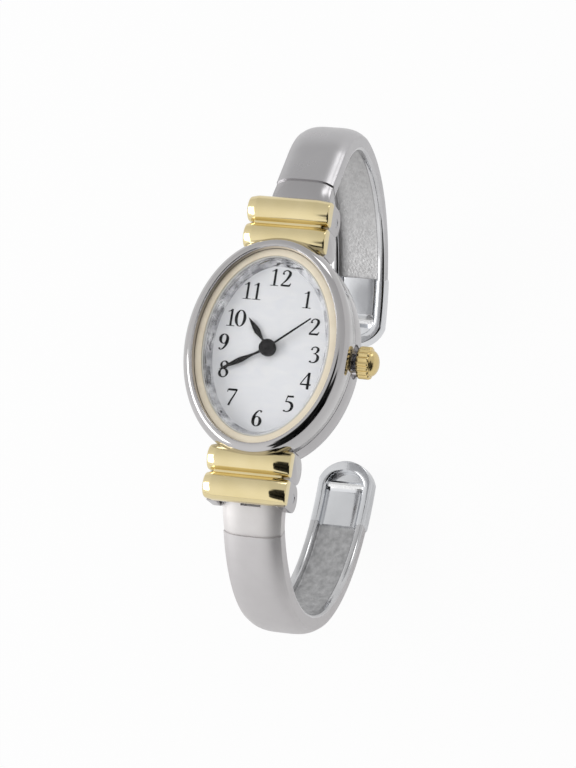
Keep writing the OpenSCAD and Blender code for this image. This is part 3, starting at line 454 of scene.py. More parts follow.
dial_sheet = np.concatenate([dial_grid(dial_top, 40), dial_grid(dial_top - dial_h, 2)[::-1]])
dial = made_of("dial_plate", [(dial_sheet, True, True)])
pearl, tree, shader = bare_finish("pearl_white", Roughness=0.35, Coat_Weight=0.3, Coat_Roughness=0.08)
place = shader_node(tree, "TexCoord").outputs["Object"]
swirl = shader_node(tree, "Mapping", Vector=place, Rotation=(0, 0, 0.6), Scale=(1, 2.4, 1)).outputs["Vector"]
cloud = shader_node(tree, "TexNoise", Vector=swirl, Scale=320, Detail=4, Distortion=1.6).outputs["Fac"]
lustre = shader_node(tree, "ValToRGB", Fac=cloud)
for stop, at, tint in zip(lustre.color_ramp.elements, (0.3, 0.7), ((0.90, 0.915, 0.955, 1), (0.965, 0.97, 0.985, 1))):
    stop.position, stop.color = at, tint
tree.links.new(lustre.outputs["Color"], shader.inputs["Base Color"])
dress(dial, pearl, "watch_head", ["dial"])

# Numerals
# Black numerals printed on the lacquer, with thick stems, thin joins and round ends, each upright on the dial. The
# ink stands a fiftieth of a millimetre proud.
numeral_h, numeral_stretch, ink_spread, ink_h = 1.98, 1.36, 0.002, 0.02
numeral_at = {
    12: (0.08, 8.38), 1: (3.52, 6.08), 2: (4.94, 3.03), 3: (5.44, -0.2), 4: (4.88, -3.27), 5: (3.34, -6.09),
    6: (-0.11, -8.04), 7: (-3.4, -5.91), 8: (-4.87, -2.77), 9: (-5.38, 0.35), 10: (-4.43, 3.27), 11: (-3.07, 6.57)
}


def smooth_line(points, closed, n):
    """A curve through points of (x, y, width): Catmull-Rom, n steps to a point, each step 0.5 times a cubic in t."""
    p = np.asarray(points, float)
    if closed:
        p = np.concatenate([p[-1:], p, p[:2]])
    else:
        p = np.concatenate([2 * p[:1] - p[1:2], p, 2 * p[-1:] - p[-2:-1]])
    a, b, c, d = (p[i:len(p) - 3 + i][:, None] for i in range(4))
    t = np.linspace(0, 1, n, endpoint=False)[None, :, None]
    line = 0.5 * (2 * b + (c - a) * t + (2 * a - 5 * b + 4 * c - d) * t ** 2 + (3 * b - a - 3 * c + d) * t ** 3)
    line = line.reshape(-1, 3)
    return line if closed else np.concatenate([line, p[-2:-1]])


def pen(*points, closed=False, n=14):
    """A stroke of ink through points of (x, y, width): both sides of a smooth line, half its width away along its
    normal. It is the flat points, which of them are raised by the ink's height, and whether the stroke is closed."""
    line = smooth_line(points, closed, n)
    on = np.roll(line, -1, 0) - np.roll(line, 1, 0) if closed else np.gradient(line, axis=0)
    on = on[:, :2] / np.maximum(np.linalg.norm(on[:, :2], axis=1), 1e-9)[:, None]
    side = np.stack([-on[:, 1], on[:, 0]], -1) * (np.abs(line[:, 2:]) + ink_spread) / 2
    left, right = line[:, :2] + side, line[:, :2] - side
    return np.stack([left, right, right, left], 1), np.array([1, 1, 0, 0])[None, :, None], closed


def bowl(x, y, rx, ry, swell, lean=0.0):
    """A closed stroke through twelve points (x + rx sin a, y + ry cos a), 0.045 + swell |sin(a + lean)|^1.5 wide."""
    a = full_turn(12)
    wide = 0.045 + swell * np.abs(np.sin(a + lean)) ** 1.5
    return pen(*np.stack([x + rx * np.sin(a), y + ry * np.cos(a), wide], -1), closed=True)


def dot(x, y, r):
    """A round end: a short stroke that is 2 r sqrt(1 - t^2) wide at x + r t."""
    t = np.linspace(-1, 1, 11)
    return pen(*np.stack([x + r * t, np.full(11, y), 2 * r * np.sqrt(np.maximum(1 - t ** 2, 0.0004))], -1), n=2)


digit_w = {d: 0.46 if d == 1 else 0.5 for d in range(10)}
strokes_of = {
    0: [bowl(0.25, 0.5, 0.185, 0.475, 0.085)],
    1: [pen((0.27, 0.0, 0.095), (0.27, 0.5, 0.095), (0.27, 1.0, 0.095)),
        pen((0.09, 0.015, 0.04), (0.45, 0.015, 0.04)),
        pen((0.10, 0.845, 0.03), (0.19, 0.885, 0.05), (0.28, 0.965, 0.07))],
    2: [pen((0.07, 0.72, 0.03), (0.11, 0.87, 0.055), (0.24, 0.955, 0.06), (0.37, 0.86, 0.11), (0.375, 0.68, 0.12),
            (0.27, 0.42, 0.09), (0.15, 0.22, 0.06), (0.05, 0.08, 0.05)),
        pen((0.04, 0.055, 0.11), (0.25, 0.055, 0.11), (0.43, 0.055, 0.11)),
        pen((0.40, 0.06, 0.09), (0.47, 0.21, 0.025)), dot(0.10, 0.745, 0.05)],
    3: [pen((0.08, 0.79, 0.03), (0.14, 0.91, 0.055), (0.25, 0.957, 0.06), (0.36, 0.87, 0.10), (0.355, 0.71, 0.10),
            (0.27, 0.59, 0.05), (0.19, 0.555, 0.035)),
        pen((0.19, 0.555, 0.035), (0.30, 0.53, 0.06), (0.39, 0.40, 0.115), (0.38, 0.20, 0.12), (0.28, 0.06, 0.07),
            (0.15, 0.03, 0.045), (0.07, 0.07, 0.04)), dot(0.085, 0.085, 0.052), dot(0.10, 0.80, 0.045)],
    4: [pen((0.355, 0.0, 0.11), (0.355, 0.5, 0.11), (0.355, 0.98, 0.11)),
        pen((0.35, 0.96, 0.06), (0.19, 0.64, 0.045), (0.035, 0.30, 0.045)),
        pen((0.02, 0.275, 0.085), (0.25, 0.275, 0.085), (0.48, 0.275, 0.085))],
    5: [pen((0.14, 0.925, 0.11), (0.28, 0.925, 0.11), (0.42, 0.935, 0.11)),
        pen((0.165, 0.95, 0.04), (0.13, 0.76, 0.04), (0.095, 0.60, 0.04)),
        pen((0.085, 0.60, 0.05), (0.20, 0.615, 0.085), (0.34, 0.54, 0.12), (0.40, 0.36, 0.125), (0.35, 0.15, 0.10),
            (0.22, 0.045, 0.06), (0.08, 0.05, 0.04)), dot(0.085, 0.075, 0.052)],
    6: [bowl(0.255, 0.30, 0.155, 0.275, 0.085),
        pen((0.10, 0.32, 0.125), (0.11, 0.52, 0.12), (0.18, 0.76, 0.09), (0.30, 0.925, 0.055), (0.42, 0.93, 0.04)),
        dot(0.40, 0.875, 0.045)],
    7: [pen((0.05, 0.925, 0.12), (0.25, 0.925, 0.12), (0.44, 0.925, 0.12)),
        pen((0.045, 0.94, 0.04), (0.03, 0.76, 0.025)),
        pen((0.445, 0.95, 0.05), (0.34, 0.62, 0.065), (0.23, 0.30, 0.075), (0.15, 0.0, 0.085))],
    8: [bowl(0.25, 0.755, 0.135, 0.205, 0.06, 0.5), bowl(0.25, 0.275, 0.165, 0.245, 0.075, 0.4)],
}
strokes_of[9] = [(np.array([0.5, 0.99]) - flat, high, closed) for flat, high, closed in strokes_of[6]]

ink_sheets = []
for number, middle in numeral_at.items():
    digits = [int(c) for c in str(number)]
    between = 0.06 if number == 12 else -0.04
    left = -(sum(digit_w[d] for d in digits) + between * (len(digits) - 1)) / 2
    for d in digits:
        for flat, high, closed in strokes_of[d]:
            printed = (flat + [left, -0.5]) * [numeral_h * numeral_stretch, numeral_h] + middle
            level = np.broadcast_to(dial_top + ink_h * high, flat.shape[:2] + (1,))
            ink_sheets.append((np.concatenate([printed, level], -1), closed, True))
        left += digit_w[d] + between
numerals = made_of("dial_numerals", ink_sheets)
ink = finish("black_ink", (0.010, 0.010, 0.011), (0.02, 0.02, 0.022), 0.0, (0.25, 0.4), 900, ior=1.3)
dress(numerals, ink, "watch_head")

# Lug covers
# Gold-plated covers pressed over each lug: two half-round ribs side by side with a narrow flat between them, their
# ends softly rounded.
rib_z, rib_soft = 5.35, 0.2
pillow_l, pillow_drop, pillow_in = (1.05, 1.85), {"12": (0.34, 0.32), "6": (0.34, 0.70)}, 0.22
valley_w, valley_z, valley_l = 0.15, rib_z + 0.70, rib_l / 2 - 0.9


def rib(y, deep):
    """A half-round rib with pillowed ends: at a distance d from its end the radius is less by p (1 - d/l)^1.2 for d
    under l, p being more in height than sideways, and by s - sqrt(s^2 - (s - d)^2) for d under the edge's softness s.
    The pillow is longer at the 3 o'clock end; deep is the height it loses at the 9 and at the 3 o'clock end."""
    a = np.linspace(0, np.pi / 2, 8)
    end_rows = np.concatenate([rib_soft * (1 - np.cos(a)), np.linspace(rib_soft, pillow_l[1], 24)[1:]])
    d = np.concatenate([end_rows, np.linspace(pillow_l[1], rib_l - pillow_l[1], 24)[1:-1], rib_l - end_rows[::-1]])
    near = np.minimum(d, rib_l - d)
    r = rib_r - rib_soft + np.sqrt(np.maximum(rib_soft ** 2 - np.maximum(rib_soft - near, 0) ** 2, 0))
    side = (d > rib_l / 2).astype(int)
    droop = np.maximum(1 - near / np.take(pillow_l, side), 0) ** 1.2
    r, up = r - pillow_in * droop, r - np.take(deep, side) * droop
    t = np.linspace(0, np.pi, 120)
    arch = np.stack([np.outer(r, np.cos(t)) + y, np.outer(up, np.sin(t)) + rib_z], -1)
    feet = [np.stack([y + s * r, np.full(len(r), cover_z)], -1)[:, None] for s in (1, -1)]
    flat = np.concatenate([feet[0], arch, feet[1]], 1)
    x = np.broadcast_to((d - rib_l / 2)[:, None, None], flat.shape[:2] + (1,))
    return np.concatenate([x, flat], -1)


gold = finish("polished_gold", (0.79, 0.665, 0.37), (0.85, 0.725, 0.43), 1.0, (0.10, 0.16), 300,
              grain=(1500, (0.12, 1, 1), 0.0012))
ends = (("12", "upper_arm", upper), ("6", "lower_arm", lower))
mid = hinge_y - rib_pitch / 2
valley = bar((mid - valley_w, mid + valley_w), (cover_z, valley_z), valley_l, [0.02, 0.02, 0.06, 0.06], 0.05)
for name, _, end in ends:
    ribs = [rib(y, pillow_drop[name]) for y in (hinge_y - rib_pitch, hinge_y)]
    cover = made_of("gold_cover_" + name, [(end(g), False, True) for g in (*ribs, valley)])
    dress(cover, gold, "watch_head", ["lug_cover_" + name])

# Hinge pins and springs
# Turned steel pins pressed through the lugs, and torsion springs wound round them from fine steel wire, which close
# the cuff.
pin_steel = finish("turned_steel", (0.42, 0.42, 0.44), (0.52, 0.52, 0.54), 1.0, (0.18, 0.28), 900, (1, 6, 6))
finish_nodes(["hinge_pin_12", "hinge_pin_6", "hinge_spring_12", "hinge_spring_6"], pin_steel)

# Necks of the arms
# Cast necks, the upper one polished and the lower one satin: two knuckles on the hinge pin, and a crowned body that
# tapers to the step where the arm begins. A plug on its end fits the hollow of the arm.
arm_w, arm_t, arm_crown, arm_rim, arm_skin = 6.86, 1.87, 0.7, 1.05, 0.8
edge_from, edge_top, edge_d = 0.96, 0.06, 0.3
neck_top, neck_drop, neck_step, neck_edge, spring_half = 0.65, 0.18, 0.1, 0.22, 1.18
plug_w, plug_l, plug_root, plug_d = 2.35, 0.5, -0.02, (0.83, 1.77)
bore_fit, bore_half, spring_room = 0.05, 5.0, 0.4
arms = {
    "12": dict(tilt=6, neck_r=6.8, neck_turn=37, neck_l=0.5, straight=5.65, shoulder_r=10.35, shoulder_turn=61.4,
               back_r=21.3, back_turn=85),
    "6": dict(tilt=-15.2, neck_r=10.5, neck_turn=26.2, neck_l=0.05, straight=0.6, shoulder_r=20.7,
              shoulder_turn=78.5, back_r=23.3, back_turn=64),
}


def bent(place, radius, a):
    """Places (y, z, slope) round a bend, at angles a from a place of slope s: y + r (sin s - sin(s - a)),
    z + r (cos(s - a) - cos s) and s - a."""
    y, z, s = place
    return np.stack([y + radius * (math.sin(s) - np.sin(s - a)),
                     z + radius * (np.cos(s - a) - math.cos(s)), s - a], -1)


def steps(turn, n):
    """n even steps of a turn given in degrees, in radians, without the zero."""
    return np.linspace(0, math.radians(turn), n + 1)[1:]


def ahead(place, d):
    """The place a distance d further along its slope."""
    return np.array([place[0] + d * math.cos(place[2]), place[1] + d * math.sin(place[2]), place[2]])


def carried(places, sections):
    """Sections of (across, inward q) points set square to the path at each place: (x, y + q sin s, z - q cos s)."""
    y, z, s = (places[:, i][:, None] for i in range(3))
    sections = np.broadcast_to(sections, (len(places),) + np.shape(sections)[-2:])
    q = sections[..., 1]
    return np.stack([sections[..., 0], y + q * np.sin(s), z - q * np.cos(s)], -1)


def crowned(w, rise, drop):
    """The outer face of a section, 0.96 w wide: drop + 0.06 - rise (1 - |u|^4), u from -1 to 1 across."""
    u = np.linspace(-1, 1, 32)
    return np.stack([w / 2 * edge_from * u, drop + edge_top - rise * (1 - np.abs(u) ** 4)], -1)


def side_curve(w, drop):
    """The rounded edge between the crowned face and a side: (w/2 (0.96 + 0.04 sin t), drop + 0.3 - 0.24 cos t)."""
    t = np.linspace(0, np.pi / 2, 6)[1:]
    return np.stack([w / 2 * (edge_from + (1 - edge_from) * np.sin(t)),
                     drop + edge_d - (edge_d - edge_top) * np.cos(t)], -1)


def neck_section(w):
    """A solid section: crowned outside, rounded sides, and inner edges softened by the third corner of a soft box."""
    box = soft([[0, 0], [w / 2, 0], [w / 2, arm_t], [0, arm_t]], [0, 0, neck_edge, 0], 5)
    right = np.concatenate([side_curve(w, neck_drop), box.reshape(4, 6, 2)[2]])
    return np.concatenate([crowned(w, arm_crown, neck_drop), right, (right * [-1, 1])[::-1]])


neck_metal = {
    "12": finish("polished_neck", (0.455, 0.445, 0.452), (0.485, 0.475, 0.482), 1.0, (0.22, 0.26), 200,
                 grain=(1500, even, 0.0001)),
    "6": finish("satin_neck", (0.705, 0.685, 0.68), (0.725, 0.705, 0.70), 1.0, (0.58, 0.64), 200,
                grain=(2200, (1, 0.3, 0.3), 0.0004)),
}
plug_section = np.array([[-plug_w, plug_d[0]], [plug_w, plug_d[0]], [plug_w, plug_d[1]], [-plug_w, plug_d[1]]])
t = full_turn(72)
knuckle = across(np.stack([hinge_y + knuckle_r * np.cos(t), hinge_z + knuckle_r * np.sin(t)], -1), neck_w / 2, 0.12)
neck_ends = {}
for name, swings, end in ends:
    arm = arms[name]
    root = np.array([hinge_y, hinge_z + neck_top, math.radians(arm["tilt"])])
    bend = bent(root, arm["neck_r"], steps(arm["neck_turn"], 30))
    neck_ends[name] = bend[-1]
    places = np.concatenate([bend[2:], ahead(bend[-1], arm["neck_l"])[None]])
    taper_from = hinge_y + pin_r
    taper = np.clip((places[:, 0] - taper_from) / (bend[-1, 0] - taper_from), 0, 1)
    widths = neck_w + (arm_w - neck_step - neck_w) * taper
    body = carried(places, np.stack([neck_section(w) for w in widths]))
    plug = carried(np.stack([ahead(bend[-1], arm["neck_l"] + d) for d in (plug_root, plug_l)]), plug_section)
    neck = made_of("neck_" + name, [(end(body), False, True)])
    added = [made_of(label, [(end(g), False, True)]) for label, g in (("barrel", knuckle), ("tongue", plug))]
    for part in added:
        union = neck.modifiers.new("union", "BOOLEAN")
        union.object, union.operation, union.solver = part, "UNION", "EXACT"
    for r, half_l in ((pin_r + bore_fit, bore_half), (knuckle_r + spring_room, spring_half)):
        bore = turned([[r, -half_l], [r, half_l]], end(np.array([0, hinge_y, hinge_z])), [1, 0, 0])
        carve(neck, made_of("bore", [(bore, False, True)]))
    for part in added:
        bpy.data.objects.remove(part)
    dress(neck, neck_metal[name], swings, ["collar_" + name])

# Arms
# Rigid hollow arms pressed from one strip: a crowned outer face, two rims turned in and rounded over to a bead, and
# an open channel whose floor keeps its cast texture.
rim_out, rim_over, floor_soft, rim_band = 0.42, 0.5, 0.15, 0.4
cap_l, tip_r = 5.2, arm_w / 2 + 0.15
arm_tone = {"12": ((0.515, 0.507, 0.518), (0.54, 0.532, 0.543), (0.27, 0.32)),
            "6": ((0.605, 0.588, 0.592), (0.63, 0.613, 0.617), (0.50, 0.56))}
# The cast floor's tones: the lower arm's pair is a darker copy of the upper one's, as painted shade.
cast_tone_and_painted_shade = {"12": ((0.56, 0.555, 0.555), (0.66, 0.655, 0.655)),
             "6": ((0.42, 0.42, 0.425), (0.60, 0.60, 0.605))}


def channel():
    """A channel's section: crowned outside, rounded sides, rims rounded over to a bead, and a sunken floor. The rims
    and the floor's corner are the middle three corners of a soft outline."""
    half_w, floor_w = arm_w / 2, arm_w / 2 - arm_rim
    rims = soft([[half_w, 1.0], [half_w, arm_t], [floor_w, arm_t], [floor_w, arm_skin], [0, arm_skin]],
                [0, rim_out, rim_over, floor_soft, 0], 6).reshape(5, 7, 2)[1:4].reshape(-1, 2)
    right = np.concatenate([side_curve(arm_w, 0), rims, [[floor_w / 2, arm_skin]]])
    return np.concatenate([crowned(arm_w, arm_crown, 0), right, [[0, arm_skin]], (right * [-1, 1])[::-1]])


def finish_where(material, mask, dark, light, rough, grain):
    """Where the mesh's attribute called mask is 1, the surface turns to a second finish: its own colours, roughness
    and grain, as (scale, stretch, depth in mm), each mixed with the first by that attribute."""
    tree = material.node_tree
    shader = tree.nodes["Principled BSDF"]
    where = shader_node(tree, "Attribute", attribute_name=mask).outputs["Fac"]
    fine, pull, depth = grain
    tone = tone_between(tree, dark, light, varied(tree, fine * 0.45, pull)["Mask"])
    sheen = varied(tree, fine * 0.7, pull, *rough)["Value"]
    for kind, label, second in (("RGBA", "Base Color", tone), ("FLOAT", "Roughness", sheen)):
        first = shader.inputs[label].links[0].from_socket
        mix = shader_node(tree, "Mix", data_type=kind, Factor=where, A=first, B=second)
        tree.links.new(mix.outputs["Result"], shader.inputs[label])
    bump = shader_node(tree, "Bump", Distance=depth * mm, Strength=where, Height=varied(tree, fine, pull)["Value"],
                       Normal=shader.inputs["Normal"].links[0].from_socket)
    tree.links.new(bump.outputs["Normal"], shader.inputs["Normal"])
    return material


section = channel()
on_rim = section[:, 1] > arm_t - rim_band
on_floor = (section[:, 1] > arm_skin - 0.01) & (np.abs(section[:, 0]) < arm_w / 2 - arm_rim + 0.02) & (
    section[:, 1] < arm_t - rim_band)
arm_ends = {}
for name, swings, end in ends:
    arm = arms[name]
    begin, straight_end = (ahead(neck_ends[name], arm[label]) for label in ("neck_l", "straight"))
    shoulder = bent(straight_end, arm["shoulder_r"], steps(arm["shoulder_turn"], 60))
    back_turn = arm["back_turn"] - math.degrees((cap_l + tip_r) / arm["back_r"])
    back = bent(shoulder[-1], arm["back_r"], steps(back_turn, 48))
    arm_ends[name] = back[-1]
    places = np.concatenate([np.linspace(begin, straight_end, 8), shoulder, back])
    shell = made_of("arm_shell_" + name, [(end(carried(places, section)), False, True)],
                    cast=np.tile(on_floor, (len(places), 1)), rim=np.tile(on_rim, (len(places), 1)))
    dark, light, rough = arm_tone[name]
    arm_metal = finish("satin_and_cast_" + name, dark, light, 1.0, rough, 200, grain=(2200, (1, 0.3, 0.3), 0.0004))
    finish_where(arm_metal, "cast", *cast_tone_and_painted_shade[name], (0.42, 0.54), (3600, (1, 0.8, 0.8), 0.022))
    finish_where(arm_metal, "rim", (0.60, 0.60, 0.61), (0.66, 0.66, 0.67), (0.10, 0.18), (900, even, 0.0006))
    dress(shell, arm_metal, swings, ["arm_" + name])

# End caps
# Thicker rounded ends, cast and polished: a smooth plateau beside the channel, a raised bar across it whose colour
# is lifted near white as a painted highlight, and a shallow round cup.
cap_swell, swell_l, cap_crown = 0.6, 0.5, arm_crown + 0.36
cup_r, cup_floor, slope_l = arm_w / 2 - arm_rim - 0.03, 0.45, 1.1
plateau_d, bar_h, bar_at = 1.05, 0.36, 0.4
side_gap, gap_floor, roll_h, roll_fall = 0.3, 0.6, 0.3, 0.55
bar_s = cap_l + np.array([-0.4, 0.1, 0.35, 0.65, slope_l])
bar_d = [plateau_d, plateau_d + bar_h * 0.75, plateau_d + bar_h, plateau_d + bar_h * 0.8, cup_floor]


def cap_sections(s):
    """Sections of an end cap at distances s along it. Its half width is sqrt(R^2 - (s - l)^2) past l. The hollow
    between the rims holds the plateau and the bar up to l and then drops to the cup's floor, with half width
    sqrt(c^2 - (s - l)^2). Each rim rolls over in two quarter curves, one out to the side and one in to the hollow."""
    past = np.maximum(s - cap_l, 0)
    half_w = np.minimum(arm_w / 2, np.sqrt(np.maximum(tip_r ** 2 - past ** 2, 1e-6)))
    hollow = np.where(s < cap_l, cup_r, np.sqrt(np.maximum(cup_r ** 2 - past ** 2, 0)))
    narrow = np.minimum(half_w / (arm_w / 2), 1)
    swell = cap_swell * np.clip(s / swell_l, 0, 1) ** 0.5
    is_open, on_plateau = hollow > 0.02, s < cap_l
    depth = np.where(is_open, np.interp(s, bar_s, bar_d), arm_t)
    gap = np.where(on_plateau, side_gap, side_gap * 0.3) * np.minimum(hollow / cup_r, 1)
    gap_d = np.where(is_open, np.minimum(depth, np.where(on_plateau, gap_floor, depth)), arm_t)
    out = rim_out * narrow
    into = np.where(is_open, np.minimum(rim_over, half_w - out - hollow - 0.02), 0)
    w, drop = 2 * half_w[:, None], -swell[:, None]
    turn = np.linspace(0, np.pi / 2, 7)
    low = np.stack([half_w[:, None] - out[:, None] * (1 - np.cos(turn)),
                    arm_t - roll_h + roll_h * np.sin(turn) + 0 * half_w[:, None]], -1)
    over = np.stack([(hollow + into)[:, None] - into[:, None] * np.sin(turn),
                     arm_t - roll_fall * into[:, None] * (1 - np.cos(turn))], -1)
    lip = np.stack([np.stack(point, -1) for point in (
        (hollow, gap_d), (hollow - gap, gap_d), (hollow - gap - 0.01, depth - 0.05 * is_open),
        (hollow - gap * 1.3 - 0.05 * (hollow > 0.1), depth), (hollow / 2, depth))], 1)
    right = np.concatenate([side_curve(w, drop), low, over, lip], 1)
    middle = np.stack([0 * s, depth], -1)[:, None]
    outside = crowned(w, cap_crown * narrow[:, None] ** 0.7, drop)
    return np.concatenate([outside, right, middle, (right * [-1, 1])[:, ::-1]], 1)


ends_metal_and_bar_highlight = finish("polished_ends_and_bar_highlight", (0.73, 0.74, 0.76), (0.79, 0.80, 0.82), 1.0, (0.10, 0.16), 260,
                   grain=(900, even, 0.0006))
# Where the bar mask is 1, the colour is lifted to near white: a painted highlight on the bar.
finish_where(ends_metal_and_bar_highlight, "bar", (0.92, 0.92, 0.925), (0.96, 0.96, 0.965), (0.2, 0.3), (1600, even, 0.01))
around = np.sin(np.linspace(0, np.pi / 2, 40))
s_cap = np.unique(np.round(np.concatenate([[0, 0.05, 0.15, 0.3, 0.5], np.linspace(0.7, cap_l, 24), bar_s,
                                           cap_l + cup_r * around, cap_l + tip_r * around]), 5))
sections = cap_sections(s_cap)
# The mask of the bar's painted highlight.
on_bar_painted_highlight = ((np.abs(sections[..., 0]) < cup_r * 0.94) & (sections[..., 1] > plateau_d + 0.1)
          & (sections[..., 1] < plateau_d + bar_h + 0.02) & (np.abs(s_cap - cap_l - bar_at) < 0.5)[:, None])
for name, swings, end in ends:
    places = bent(arm_ends[name], arms[name]["back_r"], s_cap / arms[name]["back_r"])
    which = "upper" if name == "12" else "lower"
    cap = made_of("end_cap_" + which, [(end(carried(places, sections)), False, True)], bar=on_bar_painted_highlight)
    dress(cap, ends_metal_and_bar_highlight, swings, ["end_cap_" + name])

# Crown, tube and stem
# Gold-plated crown with eighteen round flutes and a domed end, drawn out to the setting position, so that its
# steel tube shows between it and the case.
crown_x, crown_l, crown_hollow, tube_r = 10.0, 1.45, 1.1, 0.9
flutes, flute_d, dome_l, tube_fit = 18, 0.16, 0.85, 0.06


def fluted():
    """Rows of (along, radius r, share f), each drawn with radius r - 0.16 f |cos 9a|^2.2: the hollow for the tube,
    the rounded back, the flutes, where f fades to 0 at both ends, and a dome (0.85 sin t, (r - 0.4) cos t)."""
    a = full_turn(360)
    groove = np.abs(np.cos(flutes / 2 * a)) ** 2.2
    bore = tube_r + tube_fit
    rows = [(crown_hollow, bore, 0), (0.0, bore, 0), (0.0, crown_r - 0.3, 0.1), (0.02, crown_r - 0.22, 0.25),
            (0.0, crown_r - 0.16, 0.5), (0.06, crown_r - 0.07, 0.85), (0.16, crown_r, 1.0)]
    rows += [(x, crown_r, 1.0) for x in np.linspace(0.25, crown_l - 0.2, 8)]
    rows += [(crown_l - 0.1, crown_r - 0.03, 0.9), (crown_l - 0.02, crown_r - 0.12, 0.6),
             (crown_l, crown_r - 0.25, 0.2), (crown_l, crown_r - 0.38, 0.0)]
    rows += [(crown_l + dome_l * math.sin(t), (crown_r - 0.4) * math.cos(t), 0.0)
             for t in np.linspace(0, np.pi / 2, 16)[1:]]
    x, r, share = (np.array(column)[:, None] for column in zip(*rows))
    r = r - flute_d * share * groove[None]
    return np.stack([np.broadcast_to(x + crown_x, r.shape), r * np.cos(a), crown_z + r * np.sin(a)], -1)


crown = made_of("crown_knob", [(fluted(), False, True)], 40)
crown_gold = finish("crown_gold", (0.71, 0.55, 0.255), (0.81, 0.65, 0.33), 1.0, (0.20, 0.27), 500,
                    grain=(1500, even, 0.0006))
dress(crown, crown_gold, "crown", ["crown"])
finish_nodes(["crown_tube", "stem"], pin_steel)

# Movement
# Small oblong quartz movement in a white plastic ring: brass plates and wheels with fine circular graining, steel
# screws, a green board, a copper coil, and a button cell under its strip.
brass = finish("grained_brass", (0.62, 0.48, 0.20), (0.74, 0.59, 0.28), 1.0, (0.22, 0.34), 900,
               grain=(2600, (1, 4, 1), 0.001))
plastic = finish("white_plastic", (0.72, 0.72, 0.70), (0.80, 0.80, 0.78), 0.0, (0.38, 0.5), 500,
                 grain=(1500, even, 0.002))
board = finish("green_board", (0.03, 0.16, 0.08), (0.05, 0.24, 0.11), 0.0, (0.3, 0.45), 1200)
copper = finish("copper_wire", (0.52, 0.20, 0.07), (0.72, 0.32, 0.13), 1.0, (0.25, 0.35), 800, (16, 1, 1),
                (1400, (14, 0.3, 0.3), 0.01))
soft_iron = finish("soft_iron", (0.30, 0.30, 0.31), (0.38, 0.38, 0.39), 1.0, (0.3, 0.42), 900)
finish_nodes(["main_plate", "train_bridge", "setting_pinion", "step_wheel", "seconds_wheel", "third_wheel",
              "centre_wheel", "cannon_pinion", "minute_wheel", "hour_wheel"], brass)
finish_nodes(["movement_holder"], plastic)
finish_nodes(["circuit_board"], board)
finish_nodes(["coil_winding"], copper)
finish_nodes(["coil_core", "stator", "rotor", "bridge_screws", "quartz_can", "battery", "battery_clamp"],
             soft_iron)

# Hands
# Leaf hands stamped from thin brass and lacquered gloss black, a thin seconds hand, and a round black cap. Each is
# pressed on its own tube or pin.
hub_r, leaf_from, needle_z, cap_z = 0.95, 0.4, 6.07, 6.04
lacquer = finish("black_lacquer", (0.008, 0.0075, 0.008), (0.014, 0.013, 0.014), 0.0, (0.08, 0.14), 900, ior=1.4)


def turned_flat(grid, turn):
    """The grid turned clockwise by so many degrees, as the hands go."""
    a = math.radians(-turn)
    c, s = math.cos(a), math.sin(a)
    return np.stack([grid[..., 0] * c - grid[..., 1] * s, grid[..., 0] * s + grid[..., 1] * c, grid[..., 2]], -1)


def leaf(length, half_w, turn, z):
    """A leaf: half widths read between those at the hub, stem, belly and tip, its top crowned from 0.05 to 0.1 mm."""
    v = np.linspace(0.0, 1.0, 80)
    w = np.interp(v, [0, 0.24, 0.36, 0.52, 0.62, 0.8, 1.0],
                  [0.17, 0.13, 0.6 * half_w, half_w, 0.93 * half_w, 0.55 * half_w, 0.03])
    u, up = np.array([[-1, 0], [-1, 0.05], [-0.5, 0.08], [0, 0.1], [0.5, 0.08], [1, 0.05], [1, 0]]).T
    x = w[:, None] * u
    y = np.broadcast_to((leaf_from + (length - leaf_from) * v)[:, None], x.shape)
    return turned_flat(np.stack([x, y, np.broadcast_to(z + up, x.shape)], -1), turn)


for name, node, length, half_w, turn, z, r_in, body in (
        ("hour_leaf", "hour_hand", 4.35, 0.36, 320.07, 5.57, 0.65, "hours"),
        ("minute_leaf", "minute_hand", 6.0, 0.33, 240.84, 5.82, 0.43, "minutes")):
    disc = turned([[r_in, 0], [hub_r, 0], [hub_r, 0.06], [hub_r - 0.05, 0.1], [r_in, 0.1]], [0, 0, z], [0, 0, 1])
    piece = made_of(name, [(leaf(length, half_w, turn, z), False, True), (disc, True, True)])
    dress(piece, lacquer, body, [node])
u, up = np.array([[-1, 0], [-1, 0.04], [0, 0.07], [1, 0.04], [1, 0]]).T
needle = turned_flat(np.stack([np.stack([u * w, y + 0 * u, needle_z + up], -1)
                               for y, w in ((-0.2, 0.12), (3.0, 0.115), (5.9, 0.085))]), 50.4)
cap_disc = turned([[0.0, 0.0], [hub_r + 0.03, 0.0], [hub_r + 0.04, 0.03], [hub_r + 0.03, 0.09], [hub_r - 0.08, 0.135],
                   [0.5, 0.16], [0.42, 0.14], [0.3, 0.14], [0.22, 0.165], [0.1, 0.18], [0.0, 0.18]],
                  [0, 0, cap_z], [0, 0, 1])
seconds = made_of("seconds_needle", [(needle, False, True), (cap_disc, False, True)])
dress(seconds, lacquer, "seconds", ["seconds_hand"])

